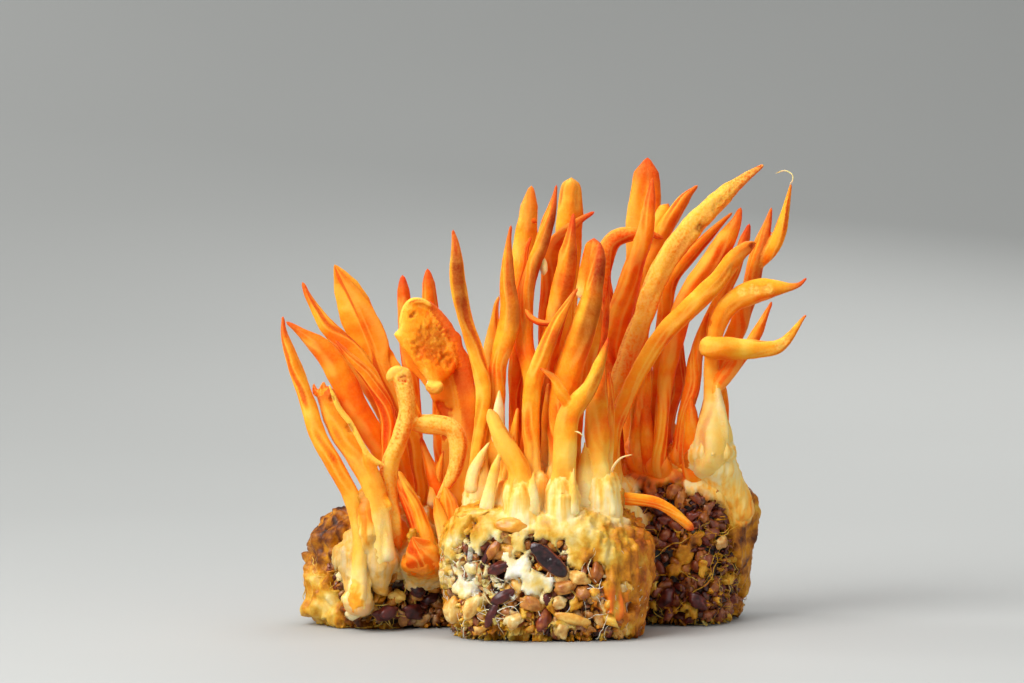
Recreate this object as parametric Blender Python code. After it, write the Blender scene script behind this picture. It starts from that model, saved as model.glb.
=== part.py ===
"""Cordyceps bunch: three broken pieces of grain cake, the mats of fungus tissue that grip them and
the orange clubs that grow from the mats. +X runs along the row of cakes, -Y is the front, +Z is up.
Every size below is in millimetres and becomes metres when a mesh is made."""

import math
from typing import NamedTuple

import bmesh
import bpy
import numpy as np
from mathutils import Euler, Matrix, Vector, noise
from mathutils.bvhtree import BVHTree

MM = 0.001
GAP = 0.35                # clear distance between neighbouring pieces
CLUB_BEVEL = 2            # curve bevel resolution, which gives a club eight sides
RING_STEP = 7.0           # distance between a club's rings
TIP_RINGS = (0.93, 0.985)  # shares of a club's length where its tip is rounded
SAMPLE_STEP = 1.0         # distance between the samples that keep clubs apart
FOOT_FLARE = 1.18         # how much a foot spreads where it meets its mat
FLARE_LENGTH = 5.0        # length over which a foot spreads
CAP_LEVEL = 0.02          # how near the end's plane a cap's corners lie
RELAX_ROUNDS = 400        # passes that move crowded clubs apart in depth
RELAX_SHARE = 0.3         # share of an overlap taken away in one pass

CAKE_SEGMENTS = 22
CAKE_RINGS = 12
CAKE_WAIST = 0.42         # height of a cake's widest level, as a share of its top
CAKE_SQUARENESS = 0.72    # 1 is an ellipsoid, smaller is boxier
LUMP_HEIGHT = 1.5         # how far the surface wanders in and out
LUMP_SIZE = 8.0           # width of one wander


class Cake(NamedTuple):
    """One broken piece of grain cake with its mat: middle and half sizes in plan, and heights."""
    name: str
    middle: tuple
    half: tuple
    top: float
    split: float          # height of the seam between grain and mat
    lean: float           # slope of that seam along X
    seed: float
    grain_colour: tuple
    mat_colour: tuple


class Club(NamedTuple):
    """One fruit body. The path runs from foot to tip as (x, z), depth is y at the foot and tip."""
    name: str
    widths: tuple         # foot, belly and tip, or one width for every point of the path
    belly_at: float       # share of the length where the belly is
    flat: float           # thickness front to back as a share of the width
    depth: tuple
    tone: float           # 0 is pale yellow orange, 1 is deep red orange
    path: tuple


CAKES = (
    Cake("left", (-32.2, 6.5), (15.0, 14.0), 22.5, 12.5, 0.05, 3.1,
         (0.42, 0.26, 0.05), (0.85, 0.62, 0.25)),
    Cake("centre", (-0.4, -12.5), (20.2, 15.0), 27.0, 15.0, -0.04, 7.4,
         (0.28, 0.12, 0.07), (0.9, 0.8, 0.55)),
    Cake("right", (26.0, 13.0), (14.0, 14.5), 33.0, 18.0, 0.03, 12.7,
         (0.1, 0.035, 0.015), (0.5, 0.26, 0.07)),
)

CLUBS = (
    # left cake
    Club("left_outer_hook_club", (3.2, 3.9, 1.0), 0.55, 1.0, (-13.5, -8.0), 0.55,
         ((-37.5, 5.5), (-37.2, 12.5), (-37.2, 20), (-38.8, 27), (-42.5, 34), (-46, 40.5), (-47.8, 47),
          (-49.6, 51.8), (-51.6, 56), (-52.5, 63))),
    Club("left_torn_stump", (4.0, 4.5, 3.4), 0.6, 1.0, (-13.5, -7.5), 0.35,
         ((-32.7, 13.5), (-33.5, 24), (-35.3, 30.5), (-38.5, 36.5), (-42, 41.5), (-44.4, 49))),
    Club("left_outer_club", (3.4, 4.8, 1.0), 0.62, 1.0, (-3.0, -5.0), 0.6,
         ((-29.5, 20), (-31.5, 32), (-35.5, 40), (-38.3, 44.5), (-41, 50.3), (-45, 56.3), (-52, 61.5))),
    Club("left_second_club", (3.2, 4.3, 1.2), 0.65, 1.0, (1.0, 1.0), 0.65,
         ((-27.5, 20), (-30, 37), (-33.8, 46), (-38.4, 54), (-43.8, 59.8), (-47, 64.5), (-49, 69.2))),
    Club("left_broad_leaf", (4.0, 9.2, 2.0), 0.72, 0.42, (7.0, 7.0), 0.8,
         ((-25.5, 20), (-28, 38), (-33, 50), (-36, 58), (-39.3, 65.5), (-42.8, 72.5))),
    Club("left_thin_front_club", (2.8, 3.2, 1.0), 0.6, 1.0, (-4.0, -9.0), 0.7,
         ((-31.5, 20), (-31.4, 40), (-32.2, 45), (-34.4, 49.3), (-37.8, 53), (-42, 58))),
    Club("left_pink_tipped_club", (3.0, 3.4, 1.6), 0.7, 1.0, (10.0, 10.0), 0.75,
         ((-25, 20), (-27, 45), (-28.4, 60), (-29.1, 70.3))),
    Club("left_back_club", (3.0, 3.6, 1.8), 0.7, 1.0, (12.5, 12.5), 0.7,
         ((-21, 20), (-21.5, 45), (-23.2, 60), (-24.1, 71.5))),
    Club("left_hood", (5.5, 6.4, 8.0, 11.0, 13.0, 6.5), 0.7, 0.36, (0.0, 2.0), 0.75,
         ((-18.4, 18), (-17.6, 32), (-18, 43), (-19.6, 50.5), (-23.8, 58), (-25.6, 66))),
    Club("left_twisted_club", (3.0, 3.5, 3.6, 3.6, 3.5, 3.9), 0.5, 1.0, (-9.0, -7.0), 0.2,
         ((-30.3, 20), (-31.4, 32), (-30, 37.2), (-27.8, 40.8), (-28, 46), (-29.3, 52.8))),
    Club("left_twisted_arm", (3.0, 3.0, 3.9, 3.2, 3.0, 1.6), 0.5, 1.0, (-7.5, -8.5), 0.2,
         ((-25.2, 41.2), (-21.6, 40.8), (-18.4, 40), (-17.8, 34.5), (-19.3, 29.4), (-22.2, 26))),
    Club("left_arch_club", (2.6, 3.2, 1.4), 0.6, 1.0, (-4.0, -4.5), 0.85,
         ((-19.6, 20), (-21.3, 28), (-23.2, 31.5), (-24.5, 35), (-25, 38.4))),
    Club("left_low_club", (3.4, 2.8, 1.4), 0.4, 1.0, (-10.5, -12.0), 0.5,
         ((-23.5, 16.5), (-24.1, 20.6), (-25.6, 24.4), (-27.2, 28), (-29.4, 32.2))),
    Club("left_ear_flap", (3.0, 6.4, 3.0), 0.55, 0.36, (-12.5, -14.5), 0.8,
         ((-24.2, 10.5), (-24.4, 14.5), (-26.6, 19.4))),
    # centre cake
    Club("centre_lone_club", (2.4, 3.5, 1.0), 0.84, 1.0, (-16.0, -14.0), 0.45,
         ((-14, 22), (-14.3, 32), (-13.6, 38), (-12.7, 44), (-12.6, 50), (-14.1, 56), (-16.2, 62.5),
          (-17.5, 68.7), (-17.8, 75), (-18.6, 80.3))),
    Club("centre_blunt_front_club", (4.4, 4.2, 2.0), 0.35, 1.0, (-22.5, -20.0), 0.3,
         ((-6.8, 23), (-4.9, 29), (-5.6, 33.2), (-8.5, 38.4), (-10, 41.6), (-11.4, 45.3))),
    Club("centre_left_tall_club", (3.4, 3.9, 1.0), 0.6, 1.0, (-15.0, -14.0), 0.45,
         ((-9.3, 24), (-10, 43), (-10, 51.6), (-8.5, 57.3), (-7.3, 63), (-7.7, 69.3), (-7.7, 75.6),
          (-7.1, 81))),
    Club("centre_left_pale_club", (2.8, 3.1, 1.2), 0.7, 1.0, (-9.0, -9.0), 0.25,
         ((-11, 24), (-11.4, 45), (-10.8, 57), (-10.4, 63), (-9.5, 66.8))),
    Club("centre_back_tall_club", (3.4, 4.6, 2.0), 0.75, 1.0, (-3.0, -3.0), 0.6,
         ((-3.5, 24), (-5, 50), (-5.3, 68), (-4, 79), (-3, 88.6))),
    Club("centre_slim_club", (2.4, 2.8, 1.0), 0.75, 1.0, (-9.0, -9.0), 0.6,
         ((-6, 24), (-6.3, 48), (-5.3, 64.5), (-4.8, 73), (-3.1, 78.6))),
    Club("centre_highest_club", (3.0, 3.6, 1.0), 0.78, 1.0, (-12.5, -11.5), 0.6,
         ((-5, 24), (-2.9, 50), (-4.3, 57), (-4.4, 64.5), (-2.9, 72.2), (-0.5, 78.7), (0.8, 83),
          (1.9, 88.9))),
    Club("centre_flat_topped_club", (3.4, 5.0, 3.2), 0.85, 0.9, (-2.0, -1.0), 0.55,
         ((2, 24), (3, 50), (4, 70), (4.6, 82), (5, 90.2))),
    Club("centre_folded_club", (2.8, 3.2, 1.0), 0.7, 1.0, (-6.0, -8.0), 0.8,
         ((0, 24), (-0.3, 50), (0.2, 68), (1.4, 77), (4.6, 80.3), (9.5, 83.5))),
    Club("centre_arched_club", (3.0, 4.0, 1.0), 0.74, 1.0, (-10.5, -12.5), 0.55,
         ((-1, 24), (-0.8, 48), (0.4, 56.5), (2.3, 65), (3.6, 70.5), (4.5, 77), (5.3, 83.3))),
    Club("centre_domed_club", (3.4, 4.9, 2.4), 0.62, 1.0, (-17.0, -15.0), 0.6,
         ((2.5, 24), (2.2, 42), (3.6, 50), (5.2, 55.5), (8.2, 64), (9.6, 71), (10.3, 77.5))),
    Club("centre_inner_club", (3.0, 3.3, 1.0), 0.6, 1.0, (-20.0, -17.0), 0.5,
         ((-2.1, 24), (-2.9, 36), (-3.2, 44.7), (-2.4, 51), (0, 57.3), (2.9, 63.6), (6, 68.7))),
    Club("centre_spike", (1.8, 1.9, 0.6), 0.5, 1.0, (-8.0, -7.0), 0.75,
         ((8, 24), (9.5, 45), (11.7, 61.6), (12.4, 71))),
    Club("centre_right_back_club", (3.0, 3.2, 1.2), 0.7, 1.0, (-10.0, -11.0), 0.6,
         ((4.8, 24), (5.5, 42), (7.2, 51.6), (9.6, 58.7), (10.8, 64.5))),
    Club("centre_forked_club", (4.0, 4.5, 1.0), 0.35, 1.0, (-22.0, -20.5), 0.4,
         ((2.7, 23), (3.3, 33.3), (4, 42), (5.6, 47.4), (8.8, 50.2), (10.6, 54.5), (12, 59.4))),
    Club("centre_fork_branch", (2.0, 2.2, 1.0), 0.4, 1.0, (-21.5, -21.5), 0.4,
         ((2.7, 48.4), (1.9, 50.3), (0.6, 51.9), (-1.7, 53.3))),
    Club("centre_thick_club", (4.6, 5.0, 2.4), 0.35, 1.0, (-16.5, -16.5), 0.35,
         ((11, 24), (10.4, 33), (9.7, 40), (10, 46), (11.1, 53.6))),
    Club("centre_pillar_club", (2.6, 2.8, 1.6), 0.6, 1.0, (-13.0, -13.5), 0.5,
         ((0, 24), (-0.2, 36), (0.2, 43), (0.3, 50))),
    Club("centre_short_club", (2.4, 2.8, 1.2), 0.6, 1.0, (-18.5, -18.0), 0.35,
         ((-8.6, 24), (-7, 36), (-6.4, 41), (-5.7, 45.2))),
    Club("centre_side_runner", (2.2, 2.1, 2.2, 2.0), 0.5, 1.0, (-16.0, -14.5), 0.75,
         ((11.8, 25.5), (16.5, 27.5), (23.6, 25.3), (29, 20.6))),
    # right cake
    Club("right_back_broad_club", (4.0, 6.2, 2.6), 0.84, 0.8, (20.0, 20.0), 0.55,
         ((17.5, 28), (18.3, 50), (19.6, 70), (20.4, 84), (20.9, 94))),
    Club("right_left_long_club", (3.6, 4.9, 1.0), 0.52, 1.0, (8.0, 8.0), 0.6,
         ((14.8, 26), (12.6, 44), (13.2, 55), (14.6, 60.3), (16.8, 69), (18.8, 75.5), (20.4, 80.3),
          (21.5, 90))),
    Club("right_back_curved_club", (3.0, 3.8, 1.0), 0.75, 1.0, (15.0, 15.0), 0.6,
         ((19, 28), (18.6, 55), (20, 69), (22.4, 75), (25.1, 80.9), (28, 85.3), (31, 88.4))),
    Club("right_fallen_club", (3.6, 4.4, 1.8), 0.6, 1.0, (12.5, 13.0), 0.85,
         ((15.2, 27), (12.8, 50), (11.6, 66), (11.9, 74.5), (16.6, 79), (24, 77.6))),
    Club("right_highest_club", (3.4, 4.5, 1.4), 0.72, 1.0, (2.5, 3.5), 0.35,
         ((14.8, 24), (13, 36), (14, 46), (16.5, 54.5), (18.9, 60.3), (21, 66.8), (24.5, 74), (28.3, 79),
          (33.3, 84.4), (38.6, 89), (43.9, 92.8))),
    Club("right_slim_club", (2.4, 2.8, 0.9), 0.7, 1.0, (9.0, 8.0), 0.6,
         ((21, 30), (22.5, 48), (24.1, 63), (25.7, 70), (30.4, 75.6), (33.5, 79), (37.7, 83))),
    Club("right_upper_club", (3.0, 4.5, 1.4), 0.78, 1.0, (5.5, 4.0), 0.5,
         ((22.5, 30), (24, 48), (27.1, 62), (30.1, 68.2), (34.5, 74.7), (37.5, 79.5), (39.2, 84.1))),
    Club("right_pink_back_club", (2.6, 3.0, 1.2), 0.75, 1.0, (13.0, 14.0), 0.75,
         ((26.5, 31), (31, 55), (38, 70), (41.5, 80.6))),
    Club("right_front_long_club", (3.0, 3.9, 2.0), 0.8, 1.0, (-2.5, -1.0), 0.45,
         ((14.6, 22), (12.8, 35), (14.8, 43), (18, 50.2), (21.5, 56.5), (26.5, 62.2), (31, 66),
          (35.2, 70.8), (38.5, 75.1), (42.1, 77.2))),
    Club("right_forked_club", (2.4, 4.0, 1.0), 0.78, 1.0, (6.0, 4.0), 0.55,
         ((29.5, 31), (34, 48), (37.7, 58), (40.4, 64), (41.7, 71), (43.2, 76), (44.4, 80), (45.4, 84.3))),
    Club("right_fork_branch", (2.4, 2.6, 1.0), 0.4, 1.0, (4.0, 4.0), 0.6,
         ((45.9, 76.4), (47.2, 80.2), (48.4, 84.5), (49.3, 89))),
    Club("right_hooked_club", (6.8, 7.2, 5.6, 3.4, 3.0, 3.8, 4.5, 4.4, 1.9, 1.0), 0.5, 1.0, (0.5, -0.5), 0.35,
         ((32.6, 29), (33.7, 38), (33.6, 43), (33.2, 49.5), (33.6, 57.5), (35, 62.6), (38.6, 66),
          (43.9, 67.9), (49.8, 68.4), (52.4, 70.3))),
    Club("right_crossing_branch", (2.8, 2.6, 1.0), 0.4, 1.0, (0.0, -0.5), 0.55,
         ((36, 50.4), (38.4, 53), (42, 58.4), (43.7, 61.2), (45.1, 65.6))),
    Club("right_cracked_club", (4.4, 4.4, 3.9, 3.3, 2.6, 1.8, 1.0), 0.5, 1.0, (-4.5, -4.5), 0.4,
         ((33.2, 56.2), (35.4, 56), (40, 56), (44, 55.7), (47.5, 57.4), (49.6, 60.3), (52.1, 63.1))),
    Club("right_inner_tall_club", (3.0, 3.2, 1.0), 0.6, 1.0, (4.0, 3.0), 0.6,
         ((26.5, 31), (28.3, 43.5), (30, 50), (30.6, 57), (32.7, 63))),
    Club("right_inner_middle_club", (3.0, 3.3, 1.4), 0.65, 1.0, (9.0, 8.0), 0.65,
         ((23.4, 31), (25.1, 44), (27.5, 51.7), (26.8, 58.5))),
    Club("right_inner_left_club", (3.0, 3.1, 1.2), 0.65, 1.0, (12.0, 12.0), 0.7,
         ((20.8, 30), (22.4, 43), (22.8, 49), (23.3, 54.7))),
    Club("right_short_club", (2.8, 3.1, 1.2), 0.6, 1.0, (5.0, 4.5), 0.65,
         ((18.4, 28), (19.2, 41), (20.3, 48), (21, 53))),
)

PALE_CLUB = (1.0, 0.47, 0.1)
DEEP_CLUB = (0.86, 0.12, 0.02)
KNOB_PLACE = (39.0, 9.0, 24.0)       # grain knob on the right cake's outer side
KNOB_REACH = 5.0
KNOB_HEIGHT = 4.6
HULL_PLACE = (0.2, 16.2)             # x and z of the dark husk stuck in the centre cake's front
HULL_HALF = (4.8, 0.9, 1.9)
HULL_TURN = 42.0
HULL_COLOUR = (0.03, 0.008, 0.012)


def make_material(name, colour, roughness):
    material = bpy.data.materials.new(name)
    material.use_nodes = True
    shader = material.node_tree.nodes["Principled BSDF"]
    shader.inputs["Base Color"].default_value = (*colour, 1.0)
    shader.inputs["Roughness"].default_value = roughness
    return material


def add_piece(name, bm, material, collection):
    """Turn a mesh drawn in millimetres into a named object in metres."""
    bmesh.ops.scale(bm, vec=(MM, MM, MM), verts=bm.verts)
    bmesh.ops.recalc_face_normals(bm, faces=bm.faces)
    mesh = bpy.data.meshes.new(name)
    bm.to_mesh(mesh)
    bm.free()
    mesh.shade_smooth()
    mesh.materials.append(material)
    piece = bpy.data.objects.new(name, mesh)
    collection.objects.link(piece)
    return piece


def catmull_rom(points, share):
    """A point on the smooth curve through the points, at a share of their number."""
    place = share * (len(points) - 1)
    start = min(int(place), len(points) - 2)
    u = place - start
    p0 = points[max(start - 1, 0)]
    p1 = points[start]
    p2 = points[start + 1]
    p3 = points[min(start + 2, len(points) - 1)]
    cubic = 2 * p1 + (p2 - p0) * u
    cubic = cubic + (2 * p0 - 5 * p1 + 4 * p2 - p3) * u * u
    cubic = cubic + (3 * p1 - p0 - 3 * p2 + p3) * u * u * u
    return cubic / 2


def smooth_step(u):
    u = min(max(u, 0.0), 1.0)
    return u * u * (3 - 2 * u)


def profile_width(club, share):
    """Width of a club with a foot, a belly and a tip, at a share of its length."""
    foot, belly, tip = club.widths
    if share < club.belly_at:
        return foot + (belly - foot) * smooth_step(share / club.belly_at)
    u = (share - club.belly_at) / (1 - club.belly_at)
    return tip + (belly - tip) * math.cos(u * math.pi / 2) ** 0.8


def sample_club(club):
    """Even samples along a club's middle line: an array of points and one of radii."""
    control = [np.array((x, 0.0, z)) for x, z in club.path]
    fine = np.array([catmull_rom(control, s) for s in np.linspace(0, 1, 40 * len(control))])
    steps = np.linalg.norm(np.diff(fine, axis=0), axis=1)
    length_at = np.concatenate(([0.0], np.cumsum(steps)))
    length = length_at[-1]
    count = max(int(length / SAMPLE_STEP), 6) + 1
    along = np.linspace(0, length, count)
    points = np.column_stack([np.interp(along, length_at, fine[:, axis]) for axis in range(3)])
    share = along / length
    points[:, 1] = club.depth[0] + (club.depth[1] - club.depth[0]) * share
    if len(club.widths) == len(club.path):
        places = np.interp(along, length_at, np.linspace(0, 1, len(fine)))
        knots = [np.array(float(w)) for w in club.widths]
        widths = np.array([float(catmull_rom(knots, p)) for p in places])
    else:
        widths = np.array([profile_width(club, s) for s in share])
    return points, widths / 2


def crowded_pairs(samples):
    """Samples of different clubs that overlap seen from the front, and the depth they need."""
    points = np.concatenate([p for p, _ in samples])
    radii = np.concatenate([r for _, r in samples])
    owner = np.concatenate([np.full(len(p), i) for i, (p, _) in enumerate(samples)])
    flat = np.array([CLUBS[i].flat for i in owner])
    first = []
    second = []
    need = []
    for i in range(len(points)):
        across = np.hypot(points[i + 1:, 0] - points[i, 0], points[i + 1:, 2] - points[i, 2])
        reach = radii[i] + radii[i + 1:] + GAP
        near = np.nonzero((across < reach) & (owner[i + 1:] != owner[i]))[0]
        thick = radii[i] * flat[i] + radii[i + 1 + near] * flat[i + 1 + near] + GAP
        first.append(np.full(len(near), i))
        second.append(i + 1 + near)
        need.append(thick * np.sqrt(1 - (across[near] / reach[near]) ** 2))
    return np.concatenate(first), np.concatenate(second), np.concatenate(need)


def spread_in_depth(samples):
    """Move crowded clubs apart front to back, each one bending smoothly, until they are clear."""
    first, second, need = crowded_pairs(samples)
    depth = np.concatenate([p[:, 1] for p, _ in samples])
    order = np.where(depth[first] <= depth[second], 1.0, -1.0)
    ends = np.cumsum([0] + [len(p) for p, _ in samples])
    for _ in range(RELAX_ROUNDS):
        short = need - (depth[second] - depth[first]) * order
        push = np.maximum(short, 0.0) * order * RELAX_SHARE
        forward = np.zeros(len(depth))
        backward = np.zeros(len(depth))
        np.minimum.at(forward, first, -push)
        np.maximum.at(backward, first, -push)
        np.minimum.at(forward, second, push)
        np.maximum.at(backward, second, push)
        move = forward + backward
        for start, end in zip(ends[:-1], ends[1:]):
            padded = np.pad(move[start:end], 4, mode="edge")
            smoothed = np.convolve(padded, np.full(9, 1 / 9), mode="valid")
            strongest = np.where(np.abs(move[start:end]) > np.abs(smoothed), move[start:end], smoothed)
            depth[start:end] += (smoothed + strongest) / 2
    for start, end, (points, _) in zip(ends[:-1], ends[1:], samples):
        padded = np.pad(depth[start:end], 2, mode="edge")
        points[:, 1] = np.convolve(padded, np.full(5, 0.2), mode="valid")


def surface_distance(trees, place):
    """Distance from a place to the nearest cake or mat, less than zero inside one."""
    nearest = math.inf
    for tree in trees:
        distance = tree.find_nearest(place)[3]
        way_out, normal, _, _ = tree.ray_cast(place, Vector((0, 0, 1)))
        if way_out and normal.z > 0:
            distance = -distance
        nearest = min(nearest, distance)
    return nearest


def trim_foot(points, radii, trees):
    """Drop the samples below the one whose flared edge just clears the mat."""
    start = 0
    for i in range(len(points) - 1, -1, -1):
        if surface_distance(trees, Vector(points[i])) < radii[i] * FOOT_FLARE + GAP:
            start = i + 1
            break
    return points[start:], radii[start:]


def club_rings(points, radii):
    """The centres and radii of a club's rings, closer together at the tip."""
    steps = np.linalg.norm(np.diff(points, axis=0), axis=1)
    length_at = np.concatenate(([0.0], np.cumsum(steps)))
    length = length_at[-1]
    count = max(round(length * TIP_RINGS[0] / RING_STEP), 2)
    shares = np.concatenate((np.linspace(0, TIP_RINGS[0], count + 1), TIP_RINGS[1:]))
    along = shares * length
    centres = np.column_stack([np.interp(along, length_at, points[:, axis]) for axis in range(3)])
    sizes = np.interp(along, length_at, radii)
    flare = 1 + (FOOT_FLARE - 1) * np.clip(1 - along / FLARE_LENGTH, 0, 1) ** 2
    return centres, sizes * flare, points[-1]


def flatten_section(bm, centres, flat):
    """Press a club's round sections thinner, front to back."""
    lines = [Vector(c) for c in centres]
    for vertex in bm.verts:
        middle = min(lines, key=lambda c: (c - vertex.co).length_squared)
        vertex.co.y = middle.y + (vertex.co.y - middle.y) * flat


def close_ends(bm, centres, tip):
    """Turn the flat caps of a club into points, level at its foot and drawn out at its tip."""
    lines = [Vector(c) for c in centres]
    for middle, inner, point in ((lines[0], lines[1], lines[0]), (lines[-1], lines[-2], Vector(tip))):
        way = (middle - inner).normalized()
        level = {v for v in bm.verts if abs((v.co - middle).dot(way)) < CAP_LEVEL}
        cap = [face for face in bm.faces if level.issuperset(face.verts)]
        whole = bmesh.ops.dissolve_faces(bm, faces=cap)["region"]
        for pole in bmesh.ops.poke(bm, faces=whole)["verts"]:
            pole.co = point


def grow_club(club, points, radii, collection):
    """One club: a bevelled curve with a radius at each point, welded and closed at both ends."""
    centres, sizes, tip = club_rings(points, radii)
    curve = bpy.data.curves.new(club.name, "CURVE")
    curve.dimensions = "3D"
    curve.bevel_depth = 1.0
    curve.bevel_resolution = CLUB_BEVEL
    curve.use_fill_caps = True
    spline = curve.splines.new("POLY")
    spline.points.add(len(centres) - 1)
    for knot, centre, size in zip(spline.points, centres, sizes):
        knot.co = (*centre, 1.0)
        knot.radius = size
    guide = bpy.data.objects.new(club.name + "_line", curve)
    collection.objects.link(guide)
    tube = bpy.data.meshes.new_from_object(guide.evaluated_get(bpy.context.evaluated_depsgraph_get()))
    bpy.data.objects.remove(guide)
    bm = bmesh.new()
    bm.from_mesh(tube)
    bpy.data.meshes.remove(tube)
    bmesh.ops.remove_doubles(bm, verts=bm.verts, dist=0.01)
    close_ends(bm, centres, tip)
    if club.flat < 1:
        flatten_section(bm, centres, club.flat)
    colour = [a + (b - a) * club.tone for a, b in zip(PALE_CLUB, DEEP_CLUB)]
    return add_piece(club.name, bm, make_material(club.name, colour, 0.5), collection)


def squared(value, power):
    return math.copysign(abs(value) ** power, value)


def knob_push(place):
    """How far the right cake's surface is pushed out by its knob of grain."""
    away = (place - Vector(KNOB_PLACE)).length / KNOB_REACH
    return KNOB_HEIGHT * math.exp(-away * away * 2)


def shape_cake(cake):
    """A whole cake as a lumpy block, still round underneath."""
    bm = bmesh.new()
    bmesh.ops.create_uvsphere(bm, u_segments=CAKE_SEGMENTS, v_segments=CAKE_RINGS, radius=1.0)
    waist = cake.top * CAKE_WAIST
    for vertex in bm.verts:
        way = vertex.co.copy()
        x = cake.middle[0] + squared(way.x, CAKE_SQUARENESS) * cake.half[0]
        y = cake.middle[1] + squared(way.y, CAKE_SQUARENESS) * cake.half[1]
        rise = cake.top - waist if way.z > 0 else waist * 1.5
        place = Vector((x, y, waist + squared(way.z, CAKE_SQUARENESS) * rise))
        wander = noise.noise(place / LUMP_SIZE + Vector((cake.seed, 0, 0))) * LUMP_HEIGHT * 2
        place += way * wander
        if cake.name == "right":
            place.x += knob_push(place)
        vertex.co = place
    return bm


def cut_level(bm, height, lean, middle_x, keep_above):
    """Cut a cake at a level that leans along X, keep one side and close the cut."""
    normal = Vector((-lean, 0, 1)).normalized()
    cut = bmesh.ops.bisect_plane(
        bm, geom=bm.verts[:] + bm.edges[:] + bm.faces[:], dist=1e-4, plane_co=(middle_x, 0, height),
        plane_no=normal, clear_inner=keep_above, clear_outer=not keep_above)
    rim = [item for item in cut["geom_cut"] if isinstance(item, bmesh.types.BMEdge)]
    bmesh.ops.contextual_create(bm, geom=rim)


def build_cake(cake, collection):
    """The grain below the seam and the mat above it, with search trees of both surfaces."""
    grain = shape_cake(cake)
    cut_level(grain, 0.0, 0.0, cake.middle[0], True)
    cut_level(grain, cake.split - GAP / 2, cake.lean, cake.middle[0], False)
    mat = shape_cake(cake)
    cut_level(mat, cake.split + GAP / 2, cake.lean, cake.middle[0], True)
    trees = []
    for bm in (grain, mat):
        bmesh.ops.recalc_face_normals(bm, faces=bm.faces)
        trees.append(BVHTree.FromBMesh(bm))
    name = cake.name + "_grain_cake"
    add_piece(name, grain, make_material(name, cake.grain_colour, 0.6), collection)
    name = cake.name + "_mycelium_mat"
    add_piece(name, mat, make_material(name, cake.mat_colour, 0.65), collection)
    return trees


def build_hull(trees, collection):
    """The dark husk, a lens that lies on the front of the centre cake, tilted along its surface."""
    front = Vector((HULL_PLACE[0], -100.0, HULL_PLACE[1]))
    hits = [tree.ray_cast(front, Vector((0, 1, 0))) for tree in trees]
    surface = min(hit[0].y for hit in hits if hit[0])
    bm = bmesh.new()
    bmesh.ops.create_uvsphere(bm, u_segments=16, v_segments=8, radius=1.0)
    turn = Euler((0, math.radians(HULL_TURN), 0)).to_matrix().to_4x4()
    stretch = Matrix.Diagonal((*HULL_HALF, 1.0))
    place = Matrix.Translation((HULL_PLACE[0], surface - HULL_HALF[1] - 2 * GAP, HULL_PLACE[1]))
    bmesh.ops.transform(bm, matrix=place @ turn @ stretch, verts=bm.verts)
    add_piece("dark_husk", bm, make_material("dark_husk", HULL_COLOUR, 0.3), collection)


def centre_on_base(collection):
    """Move every piece so that the origin is at the middle of the bunch's underside."""
    corners = [v.co for piece in collection.objects for v in piece.data.vertices]
    low = Vector([min(c[axis] for c in corners) for axis in range(3)])
    high = Vector([max(c[axis] for c in corners) for axis in range(3)])
    shift = Vector((-(low.x + high.x) / 2, -(low.y + high.y) / 2, -low.z))
    for piece in collection.objects:
        piece.data.transform(Matrix.Translation(shift))
    print("bunch moved by", [round(value / MM, 3) for value in shift], "mm")


def main():
    for item in list(bpy.data.objects):
        bpy.data.objects.remove(item)
    collection = bpy.data.collections.new("cordyceps_bunch")
    bpy.context.scene.collection.children.link(collection)
    trees = []
    for cake in CAKES:
        cake_trees = build_cake(cake, collection)
        trees += cake_trees
        if cake.name == "centre":
            build_hull(cake_trees, collection)
    samples = [sample_club(club) for club in CLUBS]
    spread_in_depth(samples)
    for club, (points, radii) in zip(CLUBS, samples):
        points, radii = trim_foot(points, radii, trees)
        grow_club(club, points, radii, collection)
    centre_on_base(collection)


main()
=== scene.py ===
"""Looks of the cordyceps bunch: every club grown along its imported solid's middle line, skins of
mycelium that climb the clubs' feet, and grain cakes packed with rice, husks and threads."""

import math
import random

import bmesh
import bpy
from mathutils import Matrix, Vector, noise
from mathutils.bvhtree import BVHTree
from mathutils.kdtree import KDTree


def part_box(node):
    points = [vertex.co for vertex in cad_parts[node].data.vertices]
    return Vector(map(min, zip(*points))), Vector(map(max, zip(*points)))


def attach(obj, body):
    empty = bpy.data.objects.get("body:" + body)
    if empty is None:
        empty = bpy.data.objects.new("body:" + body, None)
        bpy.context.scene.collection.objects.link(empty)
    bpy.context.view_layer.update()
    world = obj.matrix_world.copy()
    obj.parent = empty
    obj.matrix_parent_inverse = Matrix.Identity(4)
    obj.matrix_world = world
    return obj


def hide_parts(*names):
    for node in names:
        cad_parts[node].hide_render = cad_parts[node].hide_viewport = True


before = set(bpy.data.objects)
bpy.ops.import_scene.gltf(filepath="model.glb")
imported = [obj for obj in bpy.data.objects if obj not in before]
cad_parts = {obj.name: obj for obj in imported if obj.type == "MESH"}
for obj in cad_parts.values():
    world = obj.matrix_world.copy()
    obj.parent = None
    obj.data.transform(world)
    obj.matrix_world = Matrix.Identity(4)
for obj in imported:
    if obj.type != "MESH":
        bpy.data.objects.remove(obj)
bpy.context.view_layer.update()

MM = 0.001
BODY = "root"
CAKES = ("left", "centre", "right")
MERGE = 0.01 * MM         # corners closer than this are one
LOWEST = 0.1 * MM         # nothing but the skin comes nearer to the floor
SWELL = 0.4 * MM          # how far a cake's fused body is swollen past its solids
# painted light: the clubs are painted yellower, with more dust, on the side that faces this way, toward the
# window light
LIT_SIDE = (-0.45, -0.25, 0.86)    # which way the clubs' yellower, dusted side faces

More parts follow.
